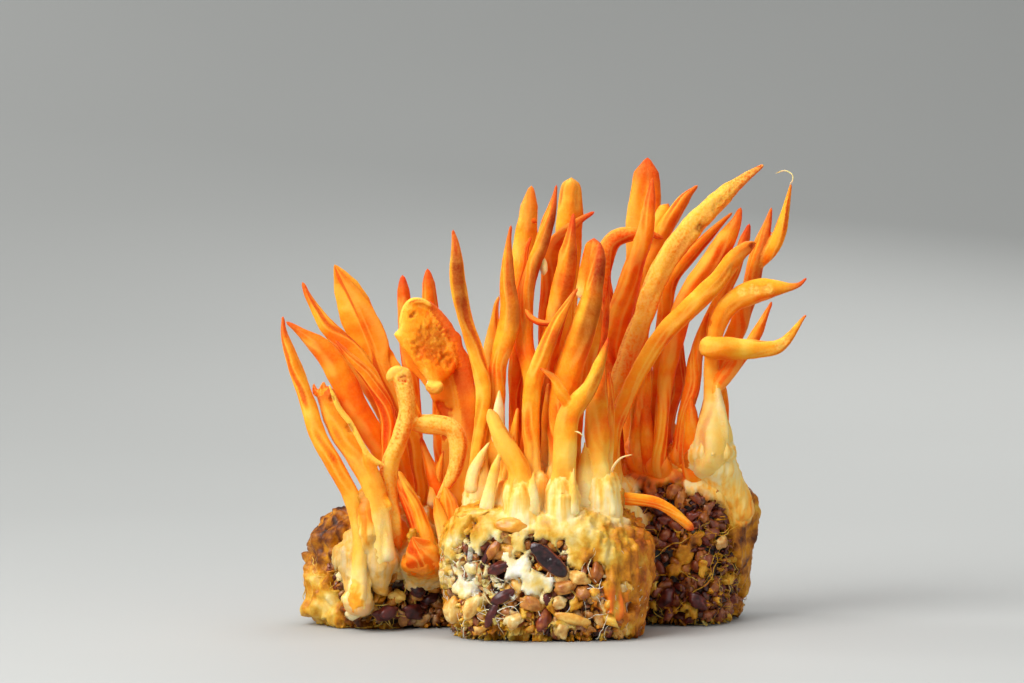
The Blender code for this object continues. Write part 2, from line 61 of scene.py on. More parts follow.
# ---------------------------------------------------------------- clubs
SOLID_SIDES = 8           # sides of a packed club
CLUB_SIDES = 32           # faces around a club
SPRIG_SIDES = 14          # faces around a small growth
CLUB_STEP = 0.5 * MM      # distance between a club's rings
ROOT_DEPTH = 4.5 * MM     # how far a club runs on into its mat
BRANCH_REACH = 5.0 * MM   # how far down its own club a branch starts
BRANCH_ROOT = 0.62        # how wide a branch's root is, as a share of the thinner club
ROOT_LEAN = {"left": 1.0, "centre": 0.0, "right": 1.0}    # how far inward for each step down
# feet at the front edge, which are drawn back into the mat instead of running down: how far in mm
FRONT_FEET = {"left_outer_hook_club": 0.8, "left_torn_stump": 2.8}
FRONT_BEND = 9            # the height in mm over which a front foot is drawn back
FRONT_ROOT_DEPTH = 0.45 * MM
FRONT_ROOT = 0.7          # how wide a front foot's root is, as a share of the foot
WEB_SETBACK = {"left": 1.5, "centre": 0.0, "right": 0.7}  # how far in mm the webs stand behind the feet
WEB_STEP = 0.8 * MM       # distance between a web's balls up a foot
SKIRT_STEP = 0.7 * MM     # the same down a skirt
MELT_VOXEL = 0.28 * MM    # how finely a club and its branches are melted together
SKIN_VOXEL = 0.46 * MM    # how finely the mycelium skin is
BODY_VOXEL = 0.7 * MM     # how finely the crumbly body under it is
HUSK_VOXEL = 0.2 * MM
THREADS = 110             # fine threads on each cake
# the clubs that grow from another club, and that club
BRANCHES = {
    "left_twisted_arm": "left_twisted_club", "centre_fork_branch": "centre_forked_club",
    "right_fork_branch": "right_forked_club", "right_crossing_branch": "right_hooked_club",
    "right_cracked_club": "right_hooked_club"}

# tone: 0 is pale yellow orange, 1 is deep red orange.  pale: height in mm of the cream foot.
# blush: how red the tip is.  furrow: depth of the long grooves, share of the radius.
# powder: how much the skin is dusted with pale spores.  twist: turns of the grooves over the length.
# flat: how oval the section is.  cup: how far the front is hollowed.  stripe: a dark brown band down one
# side.
# taper: length in mm of the narrowing tip.  web: how far in mm mycelium climbs the foot.
# seed: turns the furrows; without one it comes from the name.  side: which way the dark side faces, in
# radians.  crease: how sharp the furrows are, 1 for a fine line and less for a wide hollow.  whole: how
# unbroken they are.
CLUB_DEFAULT = dict(tone=0.5, pale=14.0, blush=0.6, furrow=0.28, powder=0.1, twist=0.25, lumps=0.13,
                    flat=0.12, cup=0.0, stripe=0.3, taper=7.0, web=11.0, seed=None, side=2.3, crease=1.0,
                    whole=0.1)
CLUB_LOOKS = {
    "left_outer_hook_club": dict(tone=0.4, pale=30.0, blush=0.8, furrow=0.2, web=24.0),
    "left_torn_stump": dict(tone=0.35, pale=26.0, blush=0.9, furrow=0.3, taper=1.0),
    "left_outer_club": dict(tone=0.55, blush=0.8),
    "left_second_club": dict(pale=12.0, blush=0.7, taper=10.0),
    "left_broad_leaf": dict(tone=0.36, pale=6.0, blush=0.2, furrow=0.6, cup=0.6, taper=5.0, twist=0.02,
                            seed=3.0, crease=0.4, whole=1.0),
    "left_thin_front_club": dict(tone=0.6, pale=8.0, blush=0.8, furrow=0.4, crease=0.6, whole=0.7,
                                 seed=2.7),
    "left_pink_tipped_club": dict(tone=0.7, pale=6.0, blush=1.0, taper=3.0),
    "left_back_club": dict(tone=0.6, pale=6.0, blush=0.8, taper=3.0),
    "left_hood": dict(tone=0.3, pale=5.0, blush=0.0, furrow=0.3, lumps=0.2, cup=0.8, taper=1.0, seed=1.2,
                      twist=0.05, crease=0.5),
    "left_twisted_club": dict(tone=0.32, pale=3.0, blush=0.0, powder=1.0, furrow=0.16, lumps=0.25,
                              taper=1.0),
    "left_twisted_arm": dict(tone=0.36, pale=0.0, blush=0.2, powder=1.0, furrow=0.14, lumps=0.25),
    "left_arch_club": dict(tone=0.8, pale=4.0, blush=1.0),
    "left_low_club": dict(tone=0.35, pale=10.0, blush=0.4),
    "left_ear_flap": dict(tone=0.6, pale=1.0, blush=0.2, cup=0.5, taper=2.0),
    "centre_lone_club": dict(tone=0.34, pale=18.0, blush=0.7, furrow=0.3, stripe=1.0, side=1.7),
    "centre_blunt_front_club": dict(tone=0.1, blush=0.3, furrow=0.18, taper=2.0),
    "centre_left_tall_club": dict(pale=16.0, blush=0.8, stripe=0.8, flat=0.2, side=2.0),
    "centre_left_pale_club": dict(tone=0.15, pale=22.0, blush=0.4),
    "centre_back_tall_club": dict(tone=0.42, pale=8.0, taper=4.0),
    "centre_slim_club": dict(tone=0.62, pale=10.0, blush=0.8),
    "centre_highest_club": dict(tone=0.6, blush=0.9, stripe=1.0, flat=0.2),
    "centre_flat_topped_club": dict(tone=0.45, pale=8.0, blush=0.3, taper=1.0),
    "centre_folded_club": dict(tone=0.62, pale=8.0, blush=1.0, furrow=0.35),
    "centre_arched_club": dict(tone=0.6, blush=1.0, stripe=0.8),
    "centre_domed_club": dict(tone=0.48, blush=0.7, furrow=0.2, stripe=1.0, taper=3.0, side=2.0),
    "centre_inner_club": dict(tone=0.42, pale=16.0, blush=0.8, stripe=0.5),
    "centre_spike": dict(tone=0.85, pale=6.0, blush=0.9, furrow=0.35),
    "centre_forked_club": dict(tone=0.36, pale=17.0, blush=1.0, stripe=0.5),
    "centre_fork_branch": dict(tone=0.4, pale=0.0, blush=1.0, stripe=0.7),
    "centre_thick_club": dict(tone=0.4, pale=16.0, blush=0.4, furrow=0.45, flat=0.2),
    "centre_pillar_club": dict(pale=16.0),
    "centre_short_club": dict(tone=0.3),
    "centre_side_runner": dict(tone=0.56, pale=2.0, blush=1.0, furrow=0.1, taper=1.0, web=1.0),
    "right_back_broad_club": dict(tone=0.45, pale=5.0, blush=0.9, flat=0.2, taper=3.0),
    "right_left_long_club": dict(tone=0.6, pale=5.0, blush=0.8, taper=4.0),
    "right_back_curved_club": dict(tone=0.42, pale=5.0, blush=0.8, taper=4.0),
    "right_fallen_club": dict(tone=0.75, pale=5.0, blush=0.5, furrow=0.3, powder=0.3),
    "right_highest_club": dict(tone=0.4, pale=18.0, blush=1.0, powder=0.8, lumps=0.22, taper=9.0),
    "right_slim_club": dict(tone=0.55, pale=4.0, blush=0.5),
    "right_upper_club": dict(tone=0.55, pale=4.0),
    "right_pink_back_club": dict(pale=6.0, blush=1.0, taper=3.0),
    "right_front_long_club": dict(tone=0.46, pale=16.0, taper=2.0),
    "right_forked_club": dict(tone=0.6, pale=4.0, stripe=0.7),
    "right_fork_branch": dict(tone=0.4, pale=0.0, blush=0.7, taper=9.0),
    "right_hooked_club": dict(tone=0.36, pale=34.0, blush=1.0, furrow=0.24, taper=9.0, web=13.0),
    "right_crossing_branch": dict(tone=0.6, pale=0.0, blush=0.8),
    "right_cracked_club": dict(tone=0.3, pale=0.0, blush=1.0, furrow=0.25, powder=0.2, taper=9.0),
    "right_inner_tall_club": dict(tone=0.7, pale=3.0, blush=0.5),
    "right_inner_middle_club": dict(tone=0.75, pale=3.0, blush=0.5),
    "right_inner_left_club": dict(tone=0.7, pale=3.0, blush=0.5),
    "right_short_club": dict(tone=0.65, pale=3.0, blush=0.5),
}

# what the small growths change in CLUB_DEFAULT, unless they say otherwise
SPRIG_LOOKS = dict(tone=0.05, pale=0.1, blush=0.0, furrow=0.15, twist=0.2, lumps=0.1, taper=3.0)
# small growths too slight for a solid of their own: the club that one stands against, how far in mm it
# stands in front of that club's middle line, its looks, then its places from foot to tip: x, height and
# width in mm
SPRIGS = (
    ("centre_pale_horn", "centre_lone_club", 1.6, dict(tone=0.1, pale=40.0),
     ((-14.6, 28, 3.2), (-14.2, 32.2, 2.4), (-12.6, 35.6, 1.6), (-11.0, 38.4, 0.8))),
    ("centre_cream_hook", "centre_left_tall_club", -2.6, dict(tone=0.0, pale=60.0, taper=1.0),
     ((-2.8, 72.8, 1.2), (-1.8, 74.2, 1.4), (-0.8, 74.2, 1.5), (-0.3, 73.0, 1.6), (-0.3, 70.9, 1.6))),
    ("centre_pink_curl", "centre_back_tall_club", 0.8, dict(tone=0.9, blush=1.0, taper=1.0),
     ((-3.4, 79.6, 1.2), (-3.2, 81.0, 1.4), (-2.4, 81.7, 1.5), (-1.6, 81.2, 1.2))),
    ("centre_red_web", "centre_inner_club", -3.0, dict(tone=1.0, taper=1.0),
     ((-4.0, 64.4, 1.0), (-2.8, 62.7, 1.2), (-0.8, 61.7, 1.2), (1.6, 61.6, 1.2))),
    ("centre_pale_leaf", "centre_left_tall_club", 3.0, dict(pale=60.0),
     ((-9.6, 38.0, 2.2), (-9.4, 42.0, 2.4), (-9.2, 45.6, 1.8), (-9.1, 48.7, 0.7))),
    ("centre_left_spike", "centre_pillar_club", 3.2, dict(pale=30.0),
     ((0.9, 24.0, 3.8), (1.0, 28.0, 3.0), (1.3, 32.0, 1.8), (1.5, 36.0, 0.7))),
    ("centre_middle_spike", "centre_forked_club", 2.0, dict(pale=30.0),
     ((5.0, 24.0, 3.2), (5.2, 28.0, 2.4), (5.4, 31.0, 1.4), (5.5, 34.2, 0.6))),
    ("centre_right_spike", "centre_thick_club", 1.6, dict(pale=26.0),
     ((8.0, 23.5, 5.6), (7.9, 27.5, 5.0), (7.7, 31.5, 3.6), (7.7, 35.0, 1.9), (7.7, 38.8, 0.6))),
    ("centre_low_spike", "centre_blunt_front_club", 2.0, dict(pale=18.0),
     ((-2.6, 24.0, 3.4), (-2.7, 27.5, 2.6), (-2.5, 31.0, 1.4), (-2.2, 33.6, 0.6))),
    ("centre_yellow_stem", "centre_blunt_front_club", -0.6, dict(pale=30.0),
     ((-11.8, 24.5, 3.0), (-11.2, 28.0, 2.5), (-10.2, 32.4, 2.2), (-9.0, 36.6, 1.2))),
    ("centre_broad_base", "centre_lone_club", 0.6, dict(pale=30.0, taper=4.0),
     ((-14.0, 22.5, 4.6), (-13.6, 27.0, 4.4), (-12.6, 31.0, 3.2), (-11.8, 35.5, 1.2))),
    ("centre_fine_hair", "centre_forked_club", 3.0, dict(tone=0.1, pale=30.0, furrow=0.0),
     ((5.6, 41.0, 0.4), (6.6, 40.7, 0.4), (7.5, 39.7, 0.3))),
    ("centre_yellow_curl", "centre_thick_club", 0.5, dict(tone=0.0, pale=60.0, furrow=0.0),
     ((12.4, 31.0, 0.7), (13.4, 33.6, 0.6), (15.0, 35.3, 0.5), (17.2, 35.9, 0.4))),
    ("centre_small_dome", "centre_domed_club", -3.0, dict(tone=0.7, pale=6.0, blush=1.0, taper=1.0),
     ((7.4, 66.0, 3.2), (8.4, 71.0, 3.6), (9.4, 76.0, 3.4), (9.6, 78.4, 2.8))),
    ("centre_right_sliver", "centre_right_back_club", 1.2, dict(tone=0.6, pale=10.0, blush=0.6),
     ((12.0, 30.0, 2.4), (12.6, 38.0, 2.2), (12.9, 46.0, 1.8), (12.6, 52.0, 1.0))),
    ("centre_left_sliver", "centre_left_tall_club", -1.2, dict(tone=0.7, pale=14.0, blush=0.6),
     ((-11.4, 28.0, 2.6), (-11.8, 38.0, 2.4), (-11.4, 46.0, 2.0), (-11.6, 53.0, 0.9))),
    ("left_spike", "left_arch_club", 0.8, dict(tone=0.7, pale=6.0, blush=0.8),
     ((-22.6, 24.0, 2.6), (-21.8, 29.0, 2.2), (-20.9, 33.0, 1.4), (-20.3, 35.8, 0.7))),
    ("left_neck_sliver", "left_twisted_club", -1.4, dict(tone=0.6, pale=1.0, blush=0.3),
     ((-25.0, 41.6, 1.6), (-25.8, 44.6, 1.5), (-26.8, 47.4, 1.2), (-27.4, 49.6, 0.8))),
    ("left_low_ridge", "left_low_club", 0.6, dict(tone=0.4, pale=12.0, blush=0.2),
     ((-19.0, 15.5, 3.4), (-19.8, 19.0, 3.0), (-20.8, 23.0, 2.6), (-21.8, 27.0, 1.6))),
    ("left_orange_sheet", "left_low_club", -0.8, dict(tone=0.55, pale=5.0, blush=0.1, furrow=0.4),
     ((-18.0, 17.0, 4.4), (-18.6, 21.0, 4.6), (-19.2, 25.0, 4.0), (-20.0, 29.0, 2.4))),
    ("left_pink_low_club", "left_low_club", -1.8, dict(tone=0.75, pale=4.0, blush=1.0),
     ((-24.2, 15.0, 2.6), (-26.0, 22.5, 3.0), (-28.0, 27.5, 2.8), (-29.9, 31.6, 1.6))),
    ("left_hooked_edge", "left_torn_stump", 0.4, dict(tone=0.2, pale=1.0),
     ((-30.5, 24.6, 1.6), (-31.6, 26.4, 1.5), (-33.0, 27.6, 1.2), (-34.0, 29.8, 0.7))),
    ("left_yellow_seam", "left_torn_stump", 1.2, dict(tone=0.0, pale=1.0, lumps=0.4),
     ((-31.6, 33.2, 0.8), (-35.0, 35.4, 1.2), (-38.4, 41.4, 1.3), (-41.0, 45.0, 1.2), (-42.9, 49.6, 0.7))),
    ("left_stump_tooth", "left_torn_stump", 0.4, dict(tone=0.8, pale=1.0, blush=1.0, taper=1.5),
     ((-44.0, 47.0, 1.6), (-44.2, 48.6, 1.3), (-43.8, 50.0, 0.8))),
    ("left_stump_shard", "left_torn_stump", -0.2, dict(tone=0.8, pale=1.0, blush=1.0, taper=1.5),
     ((-45.4, 46.6, 1.6), (-45.9, 48.2, 1.2), (-46.1, 49.6, 0.7))),
    ("left_webbed_stalk", "left_torn_stump", -1.0, dict(tone=0.35, pale=24.0, blush=0.3),
     ((-31.0, 14.0, 3.4), (-32.0, 22.0, 3.0), (-33.4, 30.0, 2.6), (-36.2, 37.0, 1.4))),
    ("left_twisted_knob", "left_twisted_club", 0.5, dict(tone=0.02, powder=0.7, taper=1.0),
     ((-27.8, 51.4, 1.4), (-29.0, 52.1, 1.9), (-30.3, 51.7, 2.1), (-31.0, 50.4, 1.8), (-31.1, 49.4, 1.4))),
    ("left_hood_rim", "left_hood", 1.4, dict(pale=1.0, blush=0.1, lumps=0.4, taper=1.0),
     ((-28.9, 59.6, 1.0), (-28.6, 61.8, 1.4), (-27.9, 64.0, 1.6), (-26.4, 65.3, 1.6), (-24.4, 65.2, 1.4),
      (-22.6, 64.0, 1.2))),
    ("left_hood_drop", "left_hood", 4.4, dict(tone=0.0, taper=1.0),
     ((-23.6, 49.4, 1.8), (-22.7, 48.1, 2.6), (-21.5, 48.0, 2.6), (-20.4, 49.2, 1.6))),
    ("right_tip_wisp", "right_fork_branch", 0.0, dict(tone=0.0, pale=90.0, furrow=0.0, taper=1.0),
     ((49.2, 88.6, 0.3), (49.9, 89.6, 0.25), (49.7, 90.8, 0.25), (48.2, 91.5, 0.25), (46.4, 90.9, 0.2))),
    ("right_sliver", "right_hooked_club", -1.0, dict(tone=0.6, pale=2.0, blush=0.4),
     ((36.2, 40.0, 1.8), (36.3, 44.0, 1.6), (35.9, 48.0, 1.2), (35.6, 50.4, 0.6))),
    ("right_back_dome", "right_back_curved_club", -2.0, dict(tone=0.5, pale=4.0, blush=0.6, taper=1.0),
     ((22.4, 76.0, 3.4), (23.6, 80.0, 3.4), (24.8, 83.4, 3.0), (25.4, 84.6, 2.0))),
    ("right_stalk_lip", "right_hooked_club", 2.6, dict(tone=0.0, pale=90.0, taper=1.0),
     ((31.4, 34.8, 1.2), (32.6, 33.8, 1.6), (34.0, 34.0, 1.6), (35.4, 35.4, 1.2))),
    ("right_stalk_rib", "right_hooked_club", 2.2, dict(pale=90.0, taper=2.0),
     ((35.6, 35.0, 1.8), (36.0, 39.0, 1.8), (35.4, 44.0, 1.5), (34.4, 49.0, 0.9))),
    ("right_low_web", "right_short_club", 0.6, dict(tone=0.7, blush=0.2),
     ((22.0, 29.0, 5.0), (21.4, 34.0, 4.4), (20.6, 40.0, 3.0), (20.2, 46.0, 1.4))),
    ("right_peach_web", "right_inner_left_club", 1.0, dict(tone=0.6, blush=0.2),
     ((26.0, 29.0, 6.0), (25.6, 34.0, 5.4), (24.6, 40.0, 3.6), (23.6, 46.0, 1.4))),
    ("right_stalk_web", "right_inner_tall_club", 1.4, dict(tone=0.65, blush=0.2),
     ((30.4, 28.0, 5.0), (30.0, 34.0, 4.4), (29.6, 40.0, 3.0), (29.4, 46.0, 1.4))),
)

# clubs that are melted into one piece with the branches and small growths that leave them
MELTED = {
    "left_hood": ("left_hood_face", "left_hood_rim", "left_hood_drop"), "left_outer_hook_club": (),
    "left_twisted_club": ("left_twisted_arm", "left_twisted_knob"),
    "left_torn_stump": ("left_hooked_edge", "left_yellow_seam", "left_stump_tooth", "left_stump_shard",
                        "left_webbed_stalk"),
    "centre_forked_club": ("centre_fork_branch", "centre_middle_spike"),
    "centre_pillar_club": ("centre_left_spike",), "centre_thick_club": ("centre_right_spike",),
    "centre_lone_club": ("centre_broad_base",),
    "centre_blunt_front_club": ("centre_low_spike", "centre_yellow_stem"),
    "right_forked_club": ("right_fork_branch",),
    "right_hooked_club": ("right_crossing_branch", "right_cracked_club", "right_stalk_lip",
                          "right_stalk_rib"),
    "right_highest_club": (), "right_front_long_club": (),
}
# the hood's drooping face: its outline seen from the front, (x, height) in mm
HOOD_FACE = (
    (-27.6, 65.6), (-25.9, 65.9), (-23.7, 65.1), (-21.4, 63.2), (-18.8, 60.3), (-17.2, 56.9), (-17.0, 53.4),
    (-18.0, 51.0), (-19.4, 49.8), (-20.6, 48.8), (-22.0, 47.4), (-23.4, 49.0), (-24.8, 51.0), (-26.8, 53.8),
    (-28.8, 56.4), (-30.4, 58.8), (-29.2, 60.4), (-28.6, 63.6),
)
# scars on the melted clubs' fronts: x and height in mm, radius in mm, which look each gains and how much
# (stripe is dark brown, powder pale, furrow the deep red of the painted crease shade, foot_height more
# orange), and how deep it is in mm
SCARS = {
    "left_hood": (
        (-22.6, 57.0, 4.4, "stripe", 0.6, 0.35), (-26.7, 62.4, 0.6, "stripe", 0.8, 0.4),
        (-26.1, 63.1, 0.5, "stripe", 0.8, 0.3), (-19.6, 53.6, 1.8, "stripe", 0.35, 0.3),
        # painted shadow: the two deep red furrow scars low on the hood, at 42.6 and 39.4 mm, lie under its
        # drooping face
        (-25.4, 55.4, 1.3, "stripe", 0.35, 0.2), (-21.6, 42.6, 3.4, "furrow", 0.9, 0.7),
        (-20.4, 39.4, 2.4, "furrow", 0.9, 0.5)),
    "left_twisted_club": ((-28.2, 50.2, 1.1, "furrow", 0.9, 0.5),),
    "left_outer_hook_club": (
        (-38.2, 6.0, 3.2, "foot_height", 0.9, 0.2), (-37.8, 9.6, 2.0, "foot_height", 0.6, 0.1)),
    "left_torn_stump": ((-38.6, 40.6, 1.2, "stripe", 0.6, 0.3), (-42.4, 46.4, 0.8, "stripe", 0.7, 0.5)),
    "right_highest_club": (
        (31.7, 80.0, 1.4, "stripe", 0.8, 0.6), (35.6, 84.0, 2.4, "powder", 0.6, 0.3),
        (38.6, 87.0, 1.8, "powder", 0.8, 0.2)),
    "right_front_long_club": (
        (41.7, 76.5, 0.9, "stripe", 1.0, 0.6), (37.6, 71.6, 1.3, "stripe", 0.3, 0.3)),
    "right_hooked_club": (
        (39.4, 67.4, 1.1, "powder", 1.0, 0.1), (41.6, 67.8, 1.3, "powder", 1.0, 0.1),
        (44.8, 67.8, 1.3, "powder", 1.0, 0.1), (47.0, 57.4, 1.8, "powder", 1.0, 0.2),
        (48.7, 59.9, 0.6, "stripe", 0.9, 0.5), (32.6, 61.0, 0.9, "furrow", 0.9, 0.5)),
}

# ---------------------------------------------------------------- mycelium skin, in mm
# the lower edge of the unbroken skin across each cake's front: (x, height) from left to right
HEM = {
    "left": ((-47, 0), (-42, 0), (-39, 3), (-36, 8), (-30, 11.5), (-24, 10), (-17, 10)),
    "centre": ((-21, 19), (-15, 21), (-3, 20.5), (3, 18.5), (8, 16), (11, 11), (13, 4), (21, 0)),
    "right": ((12, 27), (24, 29), (31, 27.5), (35, 25), (37.5, 21), (39.6, 8), (45, 2)),
}
HEM_BEHIND = {"left": 9.0, "centre": 13.0, "right": 22.0}
# patches where the skin lies over the grains, and hollows that it leaves open: (x, height, radius)
PATCHES = {
    "left": ((-44, 15, 4), (-44, 7, 3), (-38.5, 3.6, 2.4), (-37.4, 8, 1.6), (-33, 14, 3)),
    "centre": ((-7.4, 16.2, 1.5), (-7.0, 13.6, 1.3), (-4.6, 15, 1.9), (-2.6, 11.6, 2.3), (0.2, 11.4, 1.5),
               (-15.8, 10, 1.9), (-14.6, 14, 1.2), (-13.0, 19.4, 1.8), (-5.4, 19.0, 1.5), (5.6, 16.6, 2.0),
               (5.6, 7.4, 1.2)),
    "right": ((28, 14.5, 1.9), (30, 17.5, 1.4), (26, 11.5, 1.3), (31.6, 12.4, 1.1), (37.4, 9, 1.0)),
}
HOLLOWS = {
    "left": ((-40.6, 9.6, 2.4), (-40.2, 6.4, 1.6), (-34.2, 7.6, 1.7), (-28.5, 10.4, 2.2), (-43, 12.2, 0.9),
             (-40.6, 16.6, 0.9), (-28, 4, 4.5), (-33.4, 3.4, 2.2), (-22.5, 5, 3.4)),
    "centre": ((-0.6, 17.6, 2.4), (1.8, 15.4, 2.4), (3.6, 13.4, 2.0), (-10.4, 17.8, 2.2), (-9.4, 14.2, 1.9),
               (9.8, 13.4, 2.0), (-2.0, 15.0, 0.9), (-6.6, 11.0, 1.4), (15.4, 10.6, 0.9), (16.2, 6.6, 1.0)),
    "right": ((35.8, 24.2, 1.8), (33.6, 21.4, 1.2), (37.4, 15.4, 1.0)),
}

# where a club's foot spreads down over its cake's front, as strands of places from the top down: x, y and
# height in mm, radius in mm, and how orange it is (0 is cream, 1 is orange)
SKIRTS = {
    "left": (
        ((-36.8, -9.4, 18.0, 2.4, 0.3), (-37.2, -10.0, 15.0, 2.4, 0.3), (-37.4, -10.2, 12.0, 2.2, 0.6),
         (-37.4, -10.0, 9.0, 2.0, 1.2)),
        ((-35.6, -13.0, 27.0, 0.4, 1.2), (-35.4, -13.2, 24.4, 0.8, 0.9), (-35.2, -13.2, 20.2, 1.4, 0.5),
         (-35.2, -12.2, 17.0, 1.6, 0.3), (-35.6, -11.0, 13.5, 1.4, 0.3)),
        ((-33.8, -11.4, 25.0, 0.6, 0.5), (-33.6, -11.6, 20.0, 1.5, 0.3), (-33.4, -11.7, 16.4, 2.0, 0.3),
         (-33.2, -11.3, 13.2, 2.0, 0.4), (-32.8, -10.8, 10.8, 1.5, 0.6), (-33.0, -10.2, 8.8, 0.9, 0.9)),
        ((-34.4, -9.0, 16.0, 2.4, 0.3), (-34.6, -9.4, 12.4, 2.0, 0.4)),
        ((-39.4, -8.6, 16.0, 2.0, 0.3), (-39.4, -8.6, 14.6, 2.2, 0.3)),
        ((-32.0, -7.4, 14.6, 2.4, 0.2), (-29.4, -7.0, 13.4, 2.4, 0.4), (-26.8, -7.0, 14.0, 2.4, 0.2),
         (-24.0, -7.0, 12.8, 2.4, 0.4), (-21.2, -7.0, 13.6, 2.2, 0.2)),
    ),
    "centre": (),
    "right": (
        ((34.0, 2.2, 32.5, 3.8, 0.15), (34.8, 2.9, 30.8, 3.6, 0.2), (35.9, 3.6, 29.0, 3.2, 0.3),
         (37.2, 4.1, 27.2, 2.7, 0.4), (38.6, 4.5, 25.0, 2.1, 0.5), (39.8, 4.7, 22.6, 1.6, 0.6)),
    ),
}

# grains and husks that catch the eye: x and height in mm, length and width in mm, turn in degrees, shade
# (0 dark red brown, 1 cream), gold (0 to 1), and how far in mm each stands out
CHUNKS = {
    "centre": (
        (-6.6, 22.4, 7.4, 3.4, -6, 0.72, 0.85, 0.7), (-6.8, 25.4, 2.8, 2.0, 10, 0.8, 1.0, 0.6),
        (-8.8, 25.0, 2.2, 1.8, 60, 0.8, 1.0, 0.4), (-14.2, 24.4, 7.6, 2.2, -22, 0.8, 0.9, 0.6),
        (-10.3, 17.8, 4.6, 2.2, 58, 0.52, 0.35, 0.5), (-11.6, 16.6, 5.4, 1.2, 66, 0.12, 0.0, 0.7),
        (-9.2, 14.4, 4.4, 2.6, 20, 0.16, 0.0, 0.6), (3.6, 10.8, 4.2, 3.0, 12, 0.66, 0.1, 0.7),
        (6.4, 12.6, 3.8, 2.8, -20, 0.8, 0.3, 0.7), (7.2, 9.8, 3.4, 2.6, 40, 0.6, 0.1, 0.6),
        (9.9, 13.6, 4.2, 2.8, 78, 0.5, 0.2, 0.2), (9.4, 9.9, 2.2, 1.6, 10, 0.75, 1.0, 0.7),
        (12.2, 7.4, 2.8, 1.8, 60, 0.75, 1.0, 0.5), (5.2, 4.8, 7.6, 2.4, -16, 0.8, 0.6, 0.9),
        (-17.6, 5.6, 5.6, 4.2, 70, 0.85, 0.45, 0.7), (-14.4, 6.4, 5.0, 3.6, 50, 0.88, 0.35, 0.8),
        (-10.4, 5.4, 6.0, 2.0, 64, 0.14, 0.0, 0.7), (-8.4, 9.0, 5.4, 2.4, 28, 0.1, 0.0, 0.6),
        (-6.2, 4.4, 4.0, 3.0, 20, 0.9, 0.2, 0.7), (-3.0, 7.6, 4.6, 3.0, -30, 0.7, 0.2, 0.7),
        (-0.6, 4.0, 4.6, 3.2, 74, 0.4, 0.0, 0.6), (2.4, 7.8, 3.2, 2.6, 10, 0.9, 0.1, 0.5),
        (3.0, 2.6, 4.6, 3.0, 86, 0.85, 0.2, 0.6), (0.2, 8.6, 3.0, 2.2, -50, 0.2, 0.0, 0.6),
    ),
    "left": (
        (-29.6, 6.6, 3.8, 2.6, -14, 0.95, 0.8, 0.8), (-33.2, 7.6, 5.2, 1.5, 70, 0.75, 1.0, 0.5),
        (-38.4, 3.4, 4.8, 3.4, 20, 1.0, 0.1, 0.5), (-41.0, 10.6, 2.4, 1.8, 30, 1.0, 0.3, 0.2),
        (-30.0, 10.8, 3.4, 1.6, 60, 0.5, 0.9, 0.5), (-27.6, 11.6, 3.2, 1.4, -20, 0.5, 0.9, 0.5),
        (-31.6, 3.6, 5.0, 3.0, 10, 0.16, 0.0, 0.6), (-26.4, 3.4, 5.2, 3.0, -8, 0.1, 0.0, 0.6),
        (-23.0, 6.0, 4.2, 2.4, 20, 0.06, 0.0, 0.5), (-25.6, 8.0, 4.4, 2.4, -30, 0.04, 0.0, 0.4),
    ),
    "right": (
        (26.2, 31.6, 3.0, 2.4, 10, 0.7, 1.0, 0.4), (28.8, 31.0, 2.6, 2.2, 60, 0.7, 1.0, 0.4),
        (27.4, 33.4, 2.6, 2.0, -30, 0.8, 1.0, 0.4), (35.4, 27.4, 6.4, 1.8, 24, 0.6, 0.8, 0.8),
        (37.8, 25.4, 4.8, 1.6, -62, 0.6, 0.8, 0.6), (43.0, 22.8, 3.6, 2.0, -30, 0.9, 1.0, 0.2),
        (40.2, 26.6, 4.0, 2.4, -20, 0.95, 0.2, 0.4), (22.6, 24.0, 5.0, 3.4, -40, 0.12, 0.0, 0.7),
        (26.0, 27.0, 4.0, 2.4, 50, 0.5, 0.2, 0.6), (35.4, 16.6, 3.6, 2.8, 20, 0.8, 0.0, 0.6),
        (24.4, 5.6, 4.6, 3.0, 60, 0.2, 0.0, 0.6), (30.8, 5.0, 4.4, 3.0, -40, 0.16, 0.0, 0.6),
    ),
}

# ---------------------------------------------------------------- camera and light
AIM = Vector((-6.6, 0.0, 57.3)) * MM
CAMERA_DISTANCE = 0.85
CAMERA_RISE = 3.0         # degrees above level
LENS = 149.0
SENSOR = 36.0


def srgb(code):
    """A hex colour as the linear colour that the shader wants."""
    values = [int(code[i:i + 2], 16) / 255 for i in (1, 3, 5)]
    linear = [v / 12.92 if v <= 0.04045 else ((v + 0.055) / 1.055) ** 2.4 for v in values]
    return (*linear, 1.0)


def add_node(tree, kind, inputs=(), **settings):
    """Add a node. Settings are its properties. Inputs are values, sockets, or nodes for their first
    output, by socket name or in order."""
    node = tree.nodes.new(kind)
    for key, value in settings.items():
        setattr(node, key, value)
    pairs = inputs if isinstance(inputs, dict) else dict(enumerate(inputs))
    for socket, value in pairs.items():
        if isinstance(value, bpy.types.Node):
            value = value.outputs[0]
        if isinstance(value, bpy.types.NodeSocket):
            tree.links.new(value, node.inputs[socket])
        else:
            node.inputs[socket].default_value = value
    return node


def set_ramp(node, stops):
    """Give a colour ramp its stops: (place, hex colour) pairs."""
    ramp = node.color_ramp
    while len(ramp.elements) > 1:
        ramp.elements.remove(ramp.elements[-1])
    ramp.elements[0].position = stops[0][0]
    ramp.elements[0].color = srgb(stops[0][1])
    for place, colour in stops[1:]:
        ramp.elements.new(place).color = srgb(colour)
    return node


# the kinds of node that are used most
MATH = "ShaderNodeMath"
VECTOR_MATH = "ShaderNodeVectorMath"
MAP_RANGE = "ShaderNodeMapRange"
TEX_NOISE = "ShaderNodeTexNoise"


def new_material(name):
    """A material with no nodes yet, and its tree."""
    material = bpy.data.materials.new(name)
    material.use_nodes = True
    tree = material.node_tree
    tree.nodes.clear()
    return material, tree


